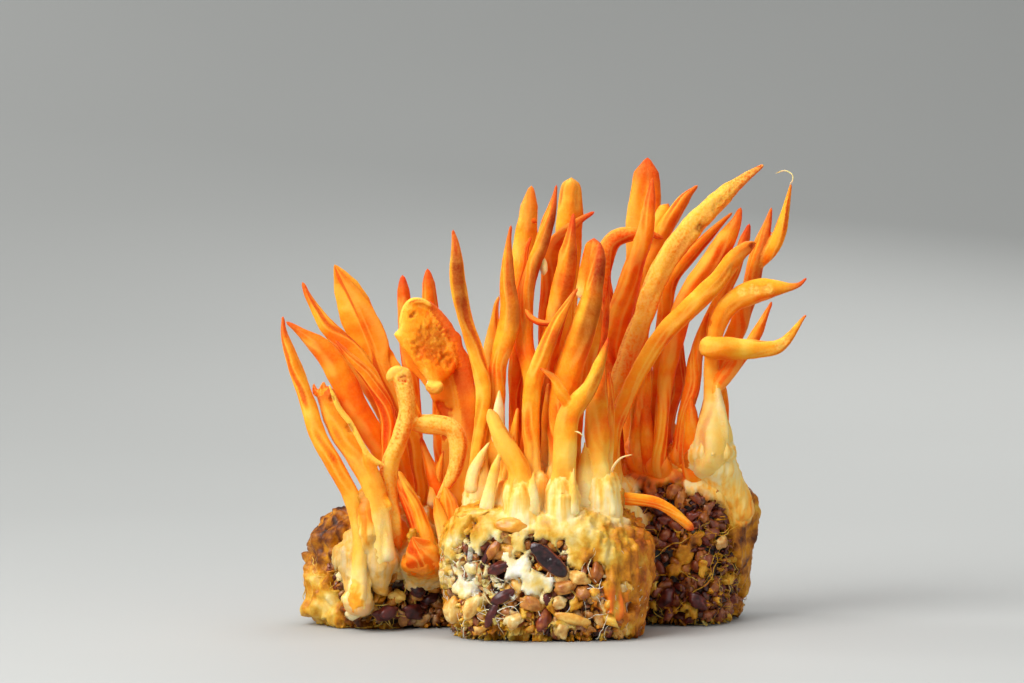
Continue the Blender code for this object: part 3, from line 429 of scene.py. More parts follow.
def finish_surface(tree, colour, relief, bump_strength, bump_depth, shine):
    """A material's last nodes: its relief, its shader with the colour and shine, and its output."""
    bump = add_node(tree, "ShaderNodeBump", {"Strength": bump_strength, "Distance": bump_depth,
                    "Height": relief})
    shader = add_node(tree, "ShaderNodeBsdfPrincipled", {"Base Color": colour, "Normal": bump, **shine})
    add_node(tree, "ShaderNodeOutputMaterial", {"Surface": shader})


def blend(low, high, value):
    """0 below low, 1 above high, smooth between."""
    share = min(max((value - low) / (high - low), 0.0), 1.0)
    return share * share * (3 - 2 * share)


def new_piece(name, data):
    """An object in the scene that holds a mesh, a lamp or a lens."""
    piece = bpy.data.objects.new(name, data)
    bpy.context.scene.collection.objects.link(piece)
    return piece


def new_mesh(name, bm):
    """A bmesh made a mesh, and freed."""
    mesh = bpy.data.meshes.new(name)
    bm.to_mesh(mesh)
    bm.free()
    return mesh


def add_part(bm, part):
    """Add one bmesh to another, and free it."""
    mesh = new_mesh("part", part)
    bm.from_mesh(mesh)
    bpy.data.meshes.remove(mesh)


def keep_result(piece):
    """Evaluate an object and keep the result as its plain mesh, with no modifier left."""
    graph = bpy.context.evaluated_depsgraph_get()
    result = bpy.data.meshes.new_from_object(piece.evaluated_get(graph), depsgraph=graph)
    piece.modifiers.clear()
    old = piece.data
    piece.data = result
    bpy.data.meshes.remove(old)
    return piece


def move_vertices(mesh, places):
    """Put a mesh's vertices in new places."""
    for vertex, place in zip(mesh.vertices, places):
        vertex.co = place
    mesh.update()


def set_attribute(mesh, name, values, kind="FLOAT", field="value"):
    """Store a value for every vertex, which the materials and trees read by name."""
    mesh.attributes.new(name, kind, "POINT").data.foreach_set(field, values)


def search_tree(places):
    """A tree that finds the nearest of some places."""
    search = KDTree(len(places))
    for i, place in enumerate(places):
        search.insert(place, i)
    search.balance()
    return search


# ================================================================ materials
# what the club flesh reads from its mesh: the share of the way to the tip, the depth of the furrows, the
# height as a share of the cream foot's, the looks that CLUB_DEFAULT lists, and how far it faces the light
FLESH_VALUES = ("along", "furrow", "foot_height", "tone", "blush", "powder", "stripe", "upper")
FOOT_STOPS = ((0.0, "#F8E2A4"), (0.28, "#FFD678"), (0.55, "#FFC04C"), (0.85, "#FFA228"), (1.3, "#FF8814"))


def club_flesh():
    """Cordyceps flesh: firm, matt orange fungus tissue, cream where it leaves the mat and brick red at
    the tip. Light soaks a millimetre into it, and its skin is pimpled with spore mouths 0.4 mm apart."""
    material, tree = new_material("cordyceps_flesh")
    along, furrow, height, tone, blush, powder, stripe, upper = (
        add_node(tree, "ShaderNodeAttribute", attribute_name=name).outputs["Fac"] for name in FLESH_VALUES)
    fibre = add_node(tree, "ShaderNodeAttribute", attribute_name="fibre").outputs["Vector"]
    place = add_node(tree, "ShaderNodeTexCoord").outputs["Object"]

    # the colour wanders in patches 6 mm long and in streaks along the fibres; painted light: lit sides are
    # yellower
    patches = add_node(tree, TEX_NOISE, {"Vector": place, "Scale": 160.0, "Detail": 3.0})
    wander = add_node(tree, MAP_RANGE, {"Value": patches, "From Min": 0.3, "From Max": 0.7,
                      "To Min": -0.22, "To Max": 0.22})
    streaks = add_node(tree, TEX_NOISE, {"Vector": fibre, "Scale": 3.4, "Detail": 4.0})
    streaked = add_node(tree, MAP_RANGE, {"Value": streaks, "From Min": 0.3, "From Max": 0.7,
                        "To Min": -0.16, "To Max": 0.16})
    both = add_node(tree, MATH, (wander, streaked))
    lit_side_tone = add_node(tree, MATH, (upper, -0.2, both), operation="MULTIPLY_ADD")
    tone_here = add_node(tree, MATH, (tone, lit_side_tone), use_clamp=True)
    body = set_ramp(add_node(tree, "ShaderNodeValToRGB", (tone_here,)), (
        (0.0, "#FFCC50"), (0.2, "#FFAE28"), (0.42, "#FF900E"), (0.62, "#FF6E03"), (0.82, "#F44E00"),
        (1.0, "#D23200")))

    # painted shade and painted highlight: the furrows are painted deep red, and their rims yellow
    rim_rise = add_node(tree, MAP_RANGE, {"Value": furrow, "From Min": 0.03, "From Max": 0.16},
                        interpolation_type="SMOOTHSTEP")
    rim_fall = add_node(tree, MAP_RANGE, {"Value": furrow, "From Min": 0.18, "From Max": 0.4,
                        "To Min": 0.45, "To Max": 0.0}, interpolation_type="SMOOTHSTEP")
    rim_highlight_share = add_node(tree, MATH, (rim_rise, rim_fall), operation="MULTIPLY")
    crease_shade_share = add_node(tree, MAP_RANGE, {"Value": furrow, "From Min": 0.25,
                            "From Max": 0.75, "To Max": 0.8}, interpolation_type="SMOOTHSTEP")

    # the cream foot fades into orange with a ragged, streaky edge
    shift = add_node(tree, MATH, (both, 1.1), operation="MULTIPLY")
    foot = add_node(tree, MATH, (height, shift))
    foot_colour = set_ramp(add_node(tree, "ShaderNodeValToRGB", (foot,)), FOOT_STOPS)
    foot_share = add_node(tree, MAP_RANGE, {"Value": foot, "From Min": 0.5, "From Max": 1.35,
                          "To Min": 0.96, "To Max": 0.0}, interpolation_type="SMOOTHSTEP")
    # the painted crease shade shows through the cream foot as well
    deep_feet = add_node(tree, MATH, {0: crease_shade_share, 1: -0.5, 2: 1.0}, operation="MULTIPLY_ADD")
    foot_mix = add_node(tree, MATH, (foot_share, deep_feet), operation="MULTIPLY")

    # a band down one side of the top half is dark brown, ragged at its edges
    band_edge = add_node(tree, MAP_RANGE, {"Value": streaks, "From Min": 0.35, "From Max": 0.6,
                     "To Min": 0.6, "To Max": 1.0})
    dark_band_share = add_node(tree, MATH, (stripe, band_edge), operation="MULTIPLY", use_clamp=True)

    # the tip is brick red
    tip_place = add_node(tree, MAP_RANGE, {"Value": along, "From Min": 0.87, "From Max": 1.0},
                         interpolation_type="SMOOTHSTEP")
    tip_share = add_node(tree, MATH, (tip_place, blush), operation="MULTIPLY")

    # pale spore dust in specks 0.6 mm wide, thicker on the lit side: real dust, partly painted highlight
    dust = add_node(tree, TEX_NOISE, {"Vector": place, "Scale": 1900.0, "Detail": 2.0})
    dust_mask = add_node(tree, MAP_RANGE, {"Value": dust, "From Min": 0.3, "From Max": 0.62})
    lit_side = add_node(tree, MAP_RANGE, {"Value": upper, "From Min": -0.5, "From Max": 0.4,
                        "To Min": 0.25, "To Max": 1.0})
    dust_on_lit_side = add_node(tree, MATH, (powder, lit_side), operation="MULTIPLY", use_clamp=True)
    dust_and_highlight_share = add_node(tree, MATH, (dust_mask, dust_on_lit_side), operation="MULTIPLY")
    colour = body.outputs[0]
    # layers: painted rim highlight, painted crease shade, foot, dark band, tip, and dust that is partly
    # painted highlight
    for share, layer in (
            (rim_highlight_share, srgb("#FFC050")), (crease_shade_share, srgb("#D63206")), (foot_mix, foot_colour),
            (dark_band_share, srgb("#962600")), (tip_share, srgb("#D63C14")), (dust_and_highlight_share, srgb("#FFC65C"))):
        colour = add_node(tree, "ShaderNodeMix", {"Factor": share, "A": colour, "B": layer},
                          data_type="RGBA").outputs["Result"]

    # spore mouths: shallow pimples 0.4 mm apart over a finer grain
    pimples = add_node(tree, "ShaderNodeTexVoronoi", {"Vector": place, "Scale": 2300.0})
    grain = add_node(tree, TEX_NOISE, {"Vector": place, "Scale": 1900.0, "Detail": 3.0})
    relief = add_node(tree, MATH, (pimples, grain))
    finish_surface(tree, colour, relief, 0.45, 0.12 * MM, {
        "Roughness": 0.6, "Subsurface Weight": 0.3, "Subsurface Radius": (1.0, 0.25, 0.04),
        "Subsurface Scale": 1.3 * MM, "Specular IOR Level": 0.12, "IOR": 1.4})
    return material


def mycelium_skin():
    """Felted mycelium: a waxy skin of fungus threads, white where fresh, then cream, golden and at last
    brown where old, wrinkled 0.9 mm across, turning to club flesh where it climbs a club's foot."""
    material, tree = new_material("mycelium_skin")
    place = add_node(tree, "ShaderNodeTexCoord").outputs["Object"]
    age, foot, height, stain = (
        add_node(tree, "ShaderNodeAttribute", attribute_name=name).outputs["Fac"]
        for name in ("age", "foot", "foot_height", "stain"))
    patches = add_node(tree, TEX_NOISE, {"Vector": place, "Scale": 330.0, "Detail": 5.0,
                       "Roughness": 0.62})
    wander = add_node(tree, MAP_RANGE, {"Value": patches, "From Min": 0.3, "From Max": 0.7,
                      "To Min": -0.2, "To Max": 0.2})
    aged = add_node(tree, MATH, (age, wander), use_clamp=True)
    aged_colour = set_ramp(add_node(tree, "ShaderNodeValToRGB", (aged,)), (
        (0.0, "#F0EDE2"), (0.16, "#E8DAAC"), (0.34, "#E6C66C"), (0.5, "#DEAC38"), (0.64, "#D0880E"),
        (0.78, "#A66204"), (0.9, "#723804"), (1.0, "#401E04")))

    # up a club's foot it takes the foot's colours, in streaks drawn out along the club
    drawn_out = add_node(tree, VECTOR_MATH, (place, (1.0, 1.0, 0.12)), operation="MULTIPLY")
    streaks = add_node(tree, TEX_NOISE, {"Vector": drawn_out, "Scale": 900.0, "Detail": 3.0})
    streaked = add_node(tree, MAP_RANGE, {"Value": streaks, "From Min": 0.3, "From Max": 0.7,
                        "To Min": -0.3, "To Max": 0.45})
    foot_shift = add_node(tree, MATH, (height, streaked))
    foot_colour = set_ramp(add_node(tree, "ShaderNodeValToRGB", (foot_shift,)), FOOT_STOPS)
    colour = aged_colour.outputs[0]
    for share, layer in ((stain, srgb("#F4721A")), (foot, foot_colour)):
        colour = add_node(tree, "ShaderNodeMix", {"Factor": share, "A": colour, "B": layer},
                          data_type="RGBA").outputs["Result"]
    felt = add_node(tree, TEX_NOISE, {"Vector": place, "Scale": 1100.0, "Detail": 5.0, "Distortion": 1.2})
    finish_surface(tree, colour, felt, 0.5, 0.22 * MM, {
        "Roughness": 0.45, "Subsurface Weight": 0.2, "Subsurface Radius": (1.0, 0.5, 0.2),
        "Subsurface Scale": 1.0 * MM, "Specular IOR Level": 0.3})
    return material


def cake_crust(name, pale, middle, deep):
    """Baked mash between the grains, in crumbs 1 mm across: damp, crumbly and dark brown, darkened further
    as painted shade.
    """
    material, tree = new_material(name)
    place = add_node(tree, "ShaderNodeTexCoord").outputs["Object"]
    crumbs = add_node(tree, TEX_NOISE, {"Vector": place, "Scale": 480.0, "Detail": 5.0, "Roughness": 0.65})
    # painted shade: the near black tones stand in for the shade in the gaps between the grains
    colour = set_ramp(add_node(tree, "ShaderNodeValToRGB", (crumbs,)), (
        (0.4, deep), (0.52, middle), (0.66, pale)))
    fine = add_node(tree, TEX_NOISE, {"Vector": place, "Scale": 1300.0, "Detail": 4.0})
    finish_surface(tree, colour, fine, 0.6, 0.3 * MM, {"Roughness": 0.45})
    return material


def cooked_grain():
    """Cooked rice and wheat: hard glassy grains, dark red brown to cream, each its own shade, and some
    stained gold by the fungus."""
    material, tree = new_material("cooked_grain")
    shade, gold, film = (add_node(tree, "ShaderNodeAttribute", attribute_name=name).outputs["Fac"]
                         for name in ("shade", "gold", "film"))
    place = add_node(tree, "ShaderNodeTexCoord").outputs["Object"]
    mottle = add_node(tree, TEX_NOISE, {"Vector": place, "Scale": 800.0, "Detail": 4.0})
    shift = add_node(tree, MAP_RANGE, {"Value": mottle, "From Min": 0.3, "From Max": 0.7,
                     "To Min": -0.15, "To Max": 0.15})
    mixed = add_node(tree, MATH, (shade, shift), use_clamp=True)
    brown = set_ramp(add_node(tree, "ShaderNodeValToRGB", (mixed,)), (
        (0.0, "#2A0A0C"), (0.22, "#5C1C16"), (0.42, "#86381C"), (0.58, "#A8622C"), (0.74, "#C88C44"),
        (0.88, "#E0BC74"), (1.0, "#F2E2B0")))
    golden = set_ramp(add_node(tree, "ShaderNodeValToRGB", (mixed,)), (
        (0.0, "#803E06"), (0.4, "#C0720C"), (0.7, "#EA981A"), (1.0, "#FCD054")))

    # a film of young mycelium 3 mm across lies over some of them
    cloud = add_node(tree, TEX_NOISE, {"Vector": place, "Scale": 380.0, "Detail": 5.0, "Roughness": 0.7})
    clear = add_node(tree, MAP_RANGE, {"Value": cloud, "From Min": 0.5, "From Max": 0.68})
    film_share = add_node(tree, MATH, (clear, film), operation="MULTIPLY")
    colour = brown.outputs[0]
    for share, layer in ((gold, golden), (film_share, srgb("#F3E2A8"))):
        colour = add_node(tree, "ShaderNodeMix", {"Factor": share, "A": colour, "B": layer},
                          data_type="RGBA").outputs["Result"]
    finish_surface(tree, colour, mottle, 0.4, 0.18 * MM, {
        "Roughness": 0.34, "Subsurface Weight": 0.12, "Subsurface Radius": (1.0, 0.5, 0.25),
        "Subsurface Scale": 0.8 * MM})
    return material


def dark_seed_husk():
    """Seed husk: a smooth, thin, nearly black purple shell with rust at its edges."""
    material, tree = new_material("dark_seed_husk")
    place = add_node(tree, "ShaderNodeTexCoord").outputs["Object"]
    rim = add_node(tree, "ShaderNodeAttribute", attribute_name="rim").outputs["Fac"]
    veins = add_node(tree, TEX_NOISE, {"Vector": place, "Scale": 700.0, "Detail": 5.0})
    colour = set_ramp(add_node(tree, "ShaderNodeValToRGB", (veins,)), (
        (0.4, "#1C0D10"), (0.58, "#33181C"), (0.72, "#5A2A28")))
    edged = add_node(tree, "ShaderNodeMix", {"Factor": rim, "A": colour,
                     "B": srgb("#8A3A20")}, data_type="RGBA")
    finish_surface(tree, edged.outputs["Result"], veins, 0.5, 0.2 * MM, {"Roughness": 0.28})
    return material


def studio_paper():
    """Seamless studio paper: matt pale grey, with the faintest cloudiness 300 mm across."""
    material, tree = new_material("seamless_studio_paper")
    place = add_node(tree, "ShaderNodeTexCoord").outputs["Object"]
    cloud = add_node(tree, TEX_NOISE, {"Vector": place, "Scale": 3.0, "Detail": 2.0})
    colour = set_ramp(add_node(tree, "ShaderNodeValToRGB", (cloud,)), ((0.3, "#B0B1AE"), (0.7, "#B4B5B2")))
    shader = add_node(tree, "ShaderNodeBsdfPrincipled", {"Base Color": colour, "Roughness": 0.8})
    add_node(tree, "ShaderNodeOutputMaterial", {"Surface": shader})
    return material


# ================================================================ geometry node trees
def new_group(name, numbers, others):
    """A Geometry Nodes tree with named inputs: numbers with their defaults, and others with their kind."""
    group = bpy.data.node_groups.new(name, "GeometryNodeTree")
    group.interface.new_socket("Geometry", in_out="INPUT", socket_type="NodeSocketGeometry")
    group.interface.new_socket("Geometry", in_out="OUTPUT", socket_type="NodeSocketGeometry")
    for label, number in numbers.items():
        kind = "NodeSocketInt" if isinstance(number, int) else "NodeSocketFloat"
        group.interface.new_socket(label, in_out="INPUT", socket_type=kind).default_value = number
    for label, kind in others.items():
        group.interface.new_socket(label, in_out="INPUT", socket_type=kind)
    return group, group.nodes.new("NodeGroupInput"), group.nodes.new("NodeGroupOutput")


def finish_group(tree, geometry, material, result):
    """A tree's last nodes: its instances made real, with their material."""
    real = add_node(tree, "GeometryNodeRealizeInstances", {"Geometry": geometry})
    skin = add_node(tree, "GeometryNodeSetMaterial", {"Geometry": real, "Material": material})
    tree.links.new(skin.outputs[0], result.inputs[0])
    return tree


def run_group(piece, group, values):
    """Run a tree on an object and keep what comes out of it."""
    modifier = piece.modifiers.new(group.name, "NODES")
    modifier.node_group = group
    for item in group.interface.items_tree:
        if item.item_type == "SOCKET" and item.in_out == "INPUT" and item.name in values:
            modifier[item.identifier] = values[item.name]
    return keep_result(piece)


def club_axes(tree, read):
    """The axes across and through a club, and how far out along each a point of its ring lies."""
    place = add_node(tree, "GeometryNodeInputPosition")
    offset = add_node(tree, VECTOR_MATH, (place, read["centre"]), operation="SUBTRACT")
    crossed = add_node(tree, VECTOR_MATH, (read["way"], (0, 1, 0)), operation="CROSS_PRODUCT")
    side_axis = add_node(tree, VECTOR_MATH, (crossed,), operation="NORMALIZE")
    through = add_node(tree, VECTOR_MATH, (side_axis, read["way"]), operation="CROSS_PRODUCT")
    depth_axis = add_node(tree, VECTOR_MATH, (through,), operation="NORMALIZE")
    side = add_node(tree, VECTOR_MATH, (offset, side_axis), operation="DOT_PRODUCT").outputs["Value"]
    depth = add_node(tree, VECTOR_MATH, (offset, depth_axis), operation="DOT_PRODUCT").outputs["Value"]
    return offset, side_axis, depth_axis, side, depth


def club_furrows(tree, take, read, angle):
    """Long furrows that turn slowly, wander and break off: the angle that they turn with, and how deep
    they are at a point."""
    drift = add_node(tree, TEX_NOISE, {"W": take["Seed"], "Scale": 70.0, "Detail": 1.0,
                     "Vector": read["centre"]}, noise_dimensions="4D")
    swing = add_node(tree, MATH, (drift, 4.0, take["Seed"]), operation="MULTIPLY_ADD")
    start = add_node(tree, MATH, (read["along"], take["Furrow Turn"], swing), operation="MULTIPLY_ADD")
    turned = add_node(tree, MATH, (angle, start), operation="SUBTRACT")
    groove = 0.0
    # four furrows: how far round the club, how fine and how deep each one is
    for away, power, weight in ((0.0, 14.0, 1.0), (2.3, 8.0, 0.6), (4.3, 22.0, 0.5), (3.2, 30.0, 0.4)):
        lobe_angle = add_node(tree, MATH, (turned, away), operation="SUBTRACT")
        lobe = add_node(tree, MATH, (lobe_angle,), operation="COSINE")
        front = add_node(tree, MATH, (lobe, 0.0), operation="MAXIMUM")
        fine = add_node(tree, MATH, (take["Crease"], power), operation="MULTIPLY")
        sharp = add_node(tree, MATH, (front, fine), operation="POWER")
        groove = add_node(tree, MATH, (sharp, weight, groove), operation="MULTIPLY_ADD")
    breaks = add_node(tree, TEX_NOISE, {"W": take["Seed"], "Scale": 110.0, "Detail": 1.0,
                      "Vector": read["centre"]}, noise_dimensions="4D")
    broken = add_node(tree, MAP_RANGE, {"Value": breaks, "From Min": 0.36, "From Max": 0.62,
                      "To Min": take["Least Crease"], "To Max": 1.0})
    return turned, add_node(tree, MATH, (groove, broken), operation="MULTIPLY")


def club_section(tree, take, read, offset, fibre, turned, furrow):
    """How far out a club's skin lies: an oval that turns with the furrows, lumps 4 mm long and fine ribs,
    less the furrows."""
    twice = add_node(tree, MATH, (turned, 2.0), operation="MULTIPLY")
    oval = add_node(tree, MATH, (twice,), operation="COSINE")
    swell_oval = add_node(tree, MATH, (oval, take["Flatness"], 1.0), operation="MULTIPLY_ADD")
    skin_spot = add_node(tree, VECTOR_MATH, (offset, (0.0016, 0.0016, 0.0016), read["centre"]),
                         operation="MULTIPLY_ADD")
    lump = add_node(tree, TEX_NOISE, {"W": take["Seed"], "Scale": take["Lump Scale"],
                    "Detail": 3.0, "Vector": skin_spot}, noise_dimensions="4D")
    lump_push = add_node(tree, MATH, (take["Lump Height"], 2.0), operation="MULTIPLY")
    off_middle = add_node(tree, MATH, (lump, 0.5), operation="SUBTRACT")
    lumpy = add_node(tree, MATH, (off_middle, lump_push, swell_oval), operation="MULTIPLY_ADD")
    ribs = add_node(tree, TEX_NOISE, {"Vector": fibre, "Scale": 1.7, "Detail": 3.0})
    ribbed = add_node(tree, MATH, (ribs, 0.3, lumpy), operation="MULTIPLY_ADD")
    level = add_node(tree, MATH, (ribbed, 0.15), operation="SUBTRACT")
    furrow_push = add_node(tree, MATH, (furrow, take["Furrow Depth"]), operation="MULTIPLY")
    return add_node(tree, MATH, (level, furrow_push), operation="SUBTRACT")


def club_ends(tree, take, read):
    """A club tapers over its tip length, and closes at both ends in a dome a little longer than wide."""
    to_tip = add_node(tree, MATH, (read["whole"], read["run"]), operation="SUBTRACT")
    taper = add_node(tree, MAP_RANGE, {"Value": to_tip, "From Min": 0.0,
                     "From Max": take["Tip Length"], "To Min": 0.5, "To Max": 1.0})
    dome_length = add_node(tree, MATH, (read["half_width"], 1.2), operation="MULTIPLY")
    to_end = add_node(tree, MATH, (to_tip, read["run"]), operation="MINIMUM")
    nearness = add_node(tree, MATH, (to_end, dome_length), operation="DIVIDE", use_clamp=True)
    inverse = add_node(tree, MATH, (1.0, nearness), operation="SUBTRACT")
    squared = add_node(tree, MATH, (inverse, inverse), operation="MULTIPLY")
    round_share = add_node(tree, MATH, (1.0004, squared), operation="SUBTRACT")
    dome = add_node(tree, MATH, (round_share,), operation="SQRT")
    return add_node(tree, MATH, (dome, taper), operation="MULTIPLY")


def club_cup(tree, take, read, side, depth):
    """A cupped club is hollow in front, most in its upper part."""
    cup_place = add_node(tree, MAP_RANGE, {"Value": read["along"], "From Min": 0.25,
                         "From Max": 0.65}, interpolation_type="SMOOTHSTEP")
    cup_here = add_node(tree, MATH, (cup_place, take["Cup"]), operation="MULTIPLY")
    rim = add_node(tree, MATH, (side, 2.0), operation="POWER")
    inner = add_node(tree, MATH, (1.0, rim), operation="SUBTRACT", use_clamp=True)
    in_front = add_node(tree, MATH, (depth, 0.0), operation="LESS_THAN")
    cup_front = add_node(tree, MATH, (in_front, inner), operation="MULTIPLY")
    cup_push = add_node(tree, MATH, (cup_here, cup_front), operation="MULTIPLY")
    return add_node(tree, MATH, (depth, cup_push))


def dark_side_band(tree, take, read, angle):
    """How dark brown a point is, in a band down one side of a club's top half."""
    band_angle = add_node(tree, MATH, (angle, take["Stripe Side"]))
    band_lobe = add_node(tree, MATH, (band_angle,), operation="COSINE")
    band_across = add_node(tree, MAP_RANGE, {"Value": band_lobe, "From Min": 0.45, "From Max": 0.9},
                        interpolation_type="SMOOTHSTEP")
    band_run = add_node(tree, MAP_RANGE, {"Value": read["along"], "From Min": 0.45,
                       "From Max": 0.8}, interpolation_type="SMOOTHSTEP")
    band_both = add_node(tree, MATH, (band_across, band_run), operation="MULTIPLY")
    return add_node(tree, MATH, (band_both, take["Stripe"]), operation="MULTIPLY")


def club_tree():
    """Sweeps a ring along a club's middle line, swells it to the line's half width and half depth,
    presses long furrows into it and makes it lumpy, with its shares stored for the material."""
    tree, given, result = new_group("grow_club", {
        "Ring Step": CLUB_STEP, "Sides": CLUB_SIDES, "Furrow Depth": 0.2, "Furrow Turn": 1.0,
        "Flatness": 0.1, "Cup": 0.0, "Tip Length": 7.0 * MM, "Lump Height": 0.15, "Lump Scale": 240.0,
        "Seed": 0.0, "Pale Foot": 10.0 * MM, "Tone": 0.5, "Blush": 0.5, "Powder": 0.1, "Stripe": 0.0,
        "Stripe Side": 2.3, "Crease": 1.0, "Least Crease": 0.1}, {"Flesh": "NodeSocketMaterial"})
    take = given.outputs
    line = add_node(tree, "GeometryNodeMeshToCurve", {"Mesh": take["Geometry"]})
    smooth = add_node(tree, "GeometryNodeCurveSplineType", {"Curve": line}, spline_type="CATMULL_ROM")
    even = add_node(tree, "GeometryNodeResampleCurve", {"Curve": smooth,
                    "Length": take["Ring Step"]}, mode="LENGTH")
    spot = add_node(tree, "GeometryNodeInputPosition")
    tangent = add_node(tree, "GeometryNodeInputTangent")
    spline = add_node(tree, "GeometryNodeSplineParameter")
    length = add_node(tree, "GeometryNodeSplineLength")
    geometry = even.outputs[0]
    for name, kind, value in (
            ("centre", "FLOAT_VECTOR", spot), ("way", "FLOAT_VECTOR", tangent),
            ("along", "FLOAT", spline.outputs["Factor"]), ("run", "FLOAT", spline.outputs["Length"]),
            ("whole", "FLOAT", length.outputs["Length"])):
        store = add_node(tree, "GeometryNodeStoreNamedAttribute", {"Geometry": geometry, "Name": name,
                         "Value": value}, data_type=kind, domain="POINT")
        geometry = store.outputs[0]
    ring = add_node(tree, "GeometryNodeCurvePrimitiveCircle", {"Resolution": take["Sides"],
                    "Radius": 1.0}, mode="RADIUS")
    sweep = add_node(tree, "GeometryNodeCurveToMesh", {"Curve": geometry,
                     "Profile Curve": ring, "Fill Caps": True})

    # where each point of the ring is, and how far out it belongs
    read = {}
    for name, kind in (("centre", "FLOAT_VECTOR"), ("way", "FLOAT_VECTOR"), ("along", "FLOAT"),
                       ("run", "FLOAT"), ("whole", "FLOAT"), ("half_width", "FLOAT"),
                       ("half_depth", "FLOAT")):
        read[name] = add_node(tree, "GeometryNodeInputNamedAttribute", {"Name": name}, data_type=kind)
    offset, side_axis, depth_axis, side, depth = club_axes(tree, read)
    angle = add_node(tree, MATH, (depth, side), operation="ARCTAN2")
    run_scaled = add_node(tree, MATH, (read["run"], 45.0, take["Seed"]), operation="MULTIPLY_ADD")
    fibre = add_node(tree, "ShaderNodeCombineXYZ", (side, depth, run_scaled))
    turned, furrow = club_furrows(tree, take, read, angle)
    section = club_section(tree, take, read, offset, fibre, turned, furrow)
    swell = add_node(tree, MATH, (section, club_ends(tree, take, read)), operation="MULTIPLY")
    cupped = club_cup(tree, take, read, side, depth)

    # every point moves out to the club's own width and depth
    wide = add_node(tree, MATH, (side, read["half_width"]), operation="MULTIPLY")
    wide_here = add_node(tree, MATH, (wide, swell), operation="MULTIPLY")
    deep = add_node(tree, MATH, (cupped, read["half_depth"]), operation="MULTIPLY")
    deep_here = add_node(tree, MATH, (deep, swell), operation="MULTIPLY")
    across = add_node(tree, VECTOR_MATH, {0: side_axis, "Scale": wide_here}, operation="SCALE")
    inward = add_node(tree, VECTOR_MATH, {0: depth_axis, "Scale": deep_here}, operation="SCALE")
    both = add_node(tree, VECTOR_MATH, (across, inward))
    shaped = add_node(tree, VECTOR_MATH, (read["centre"], both))
    moved = add_node(tree, "GeometryNodeSetPosition", {"Geometry": sweep, "Position": shaped})

    # what the material reads
    least_foot = add_node(tree, MATH, (take["Pale Foot"], 0.0001), operation="MAXIMUM")
    height = add_node(tree, MATH, (read["run"], least_foot), operation="DIVIDE")
    dark_band = dark_side_band(tree, take, read, angle)
    # painted light: how far the skin faces the window light, which the flesh paints yellower and dustier
    normal = add_node(tree, "GeometryNodeInputNormal")
    upper = add_node(tree, VECTOR_MATH, (normal, LIT_SIDE), operation="DOT_PRODUCT").outputs["Value"]
    geometry = moved.outputs[0]
    for name, kind, value in (
            ("furrow", "FLOAT", furrow), ("foot_height", "FLOAT", height), ("tone", "FLOAT", take["Tone"]),
            ("blush", "FLOAT", take["Blush"]), ("powder", "FLOAT", take["Powder"]),
            ("stripe", "FLOAT", dark_band), ("fibre", "FLOAT_VECTOR", fibre), ("upper", "FLOAT", upper)):
        store = add_node(tree, "GeometryNodeStoreNamedAttribute", {"Geometry": geometry, "Name": name,
                         "Value": value}, data_type=kind, domain="POINT")
        geometry = store.outputs[0]
    for name in ("centre", "way", "run", "whole", "half_width", "half_depth"):
        geometry = add_node(tree, "GeometryNodeRemoveAttribute", {"Geometry": geometry,
                            "Name": name}).outputs[0]
    round_off = add_node(tree, "GeometryNodeSetShadeSmooth", {"Geometry": geometry})
    return finish_group(tree, round_off, take["Flesh"], result)


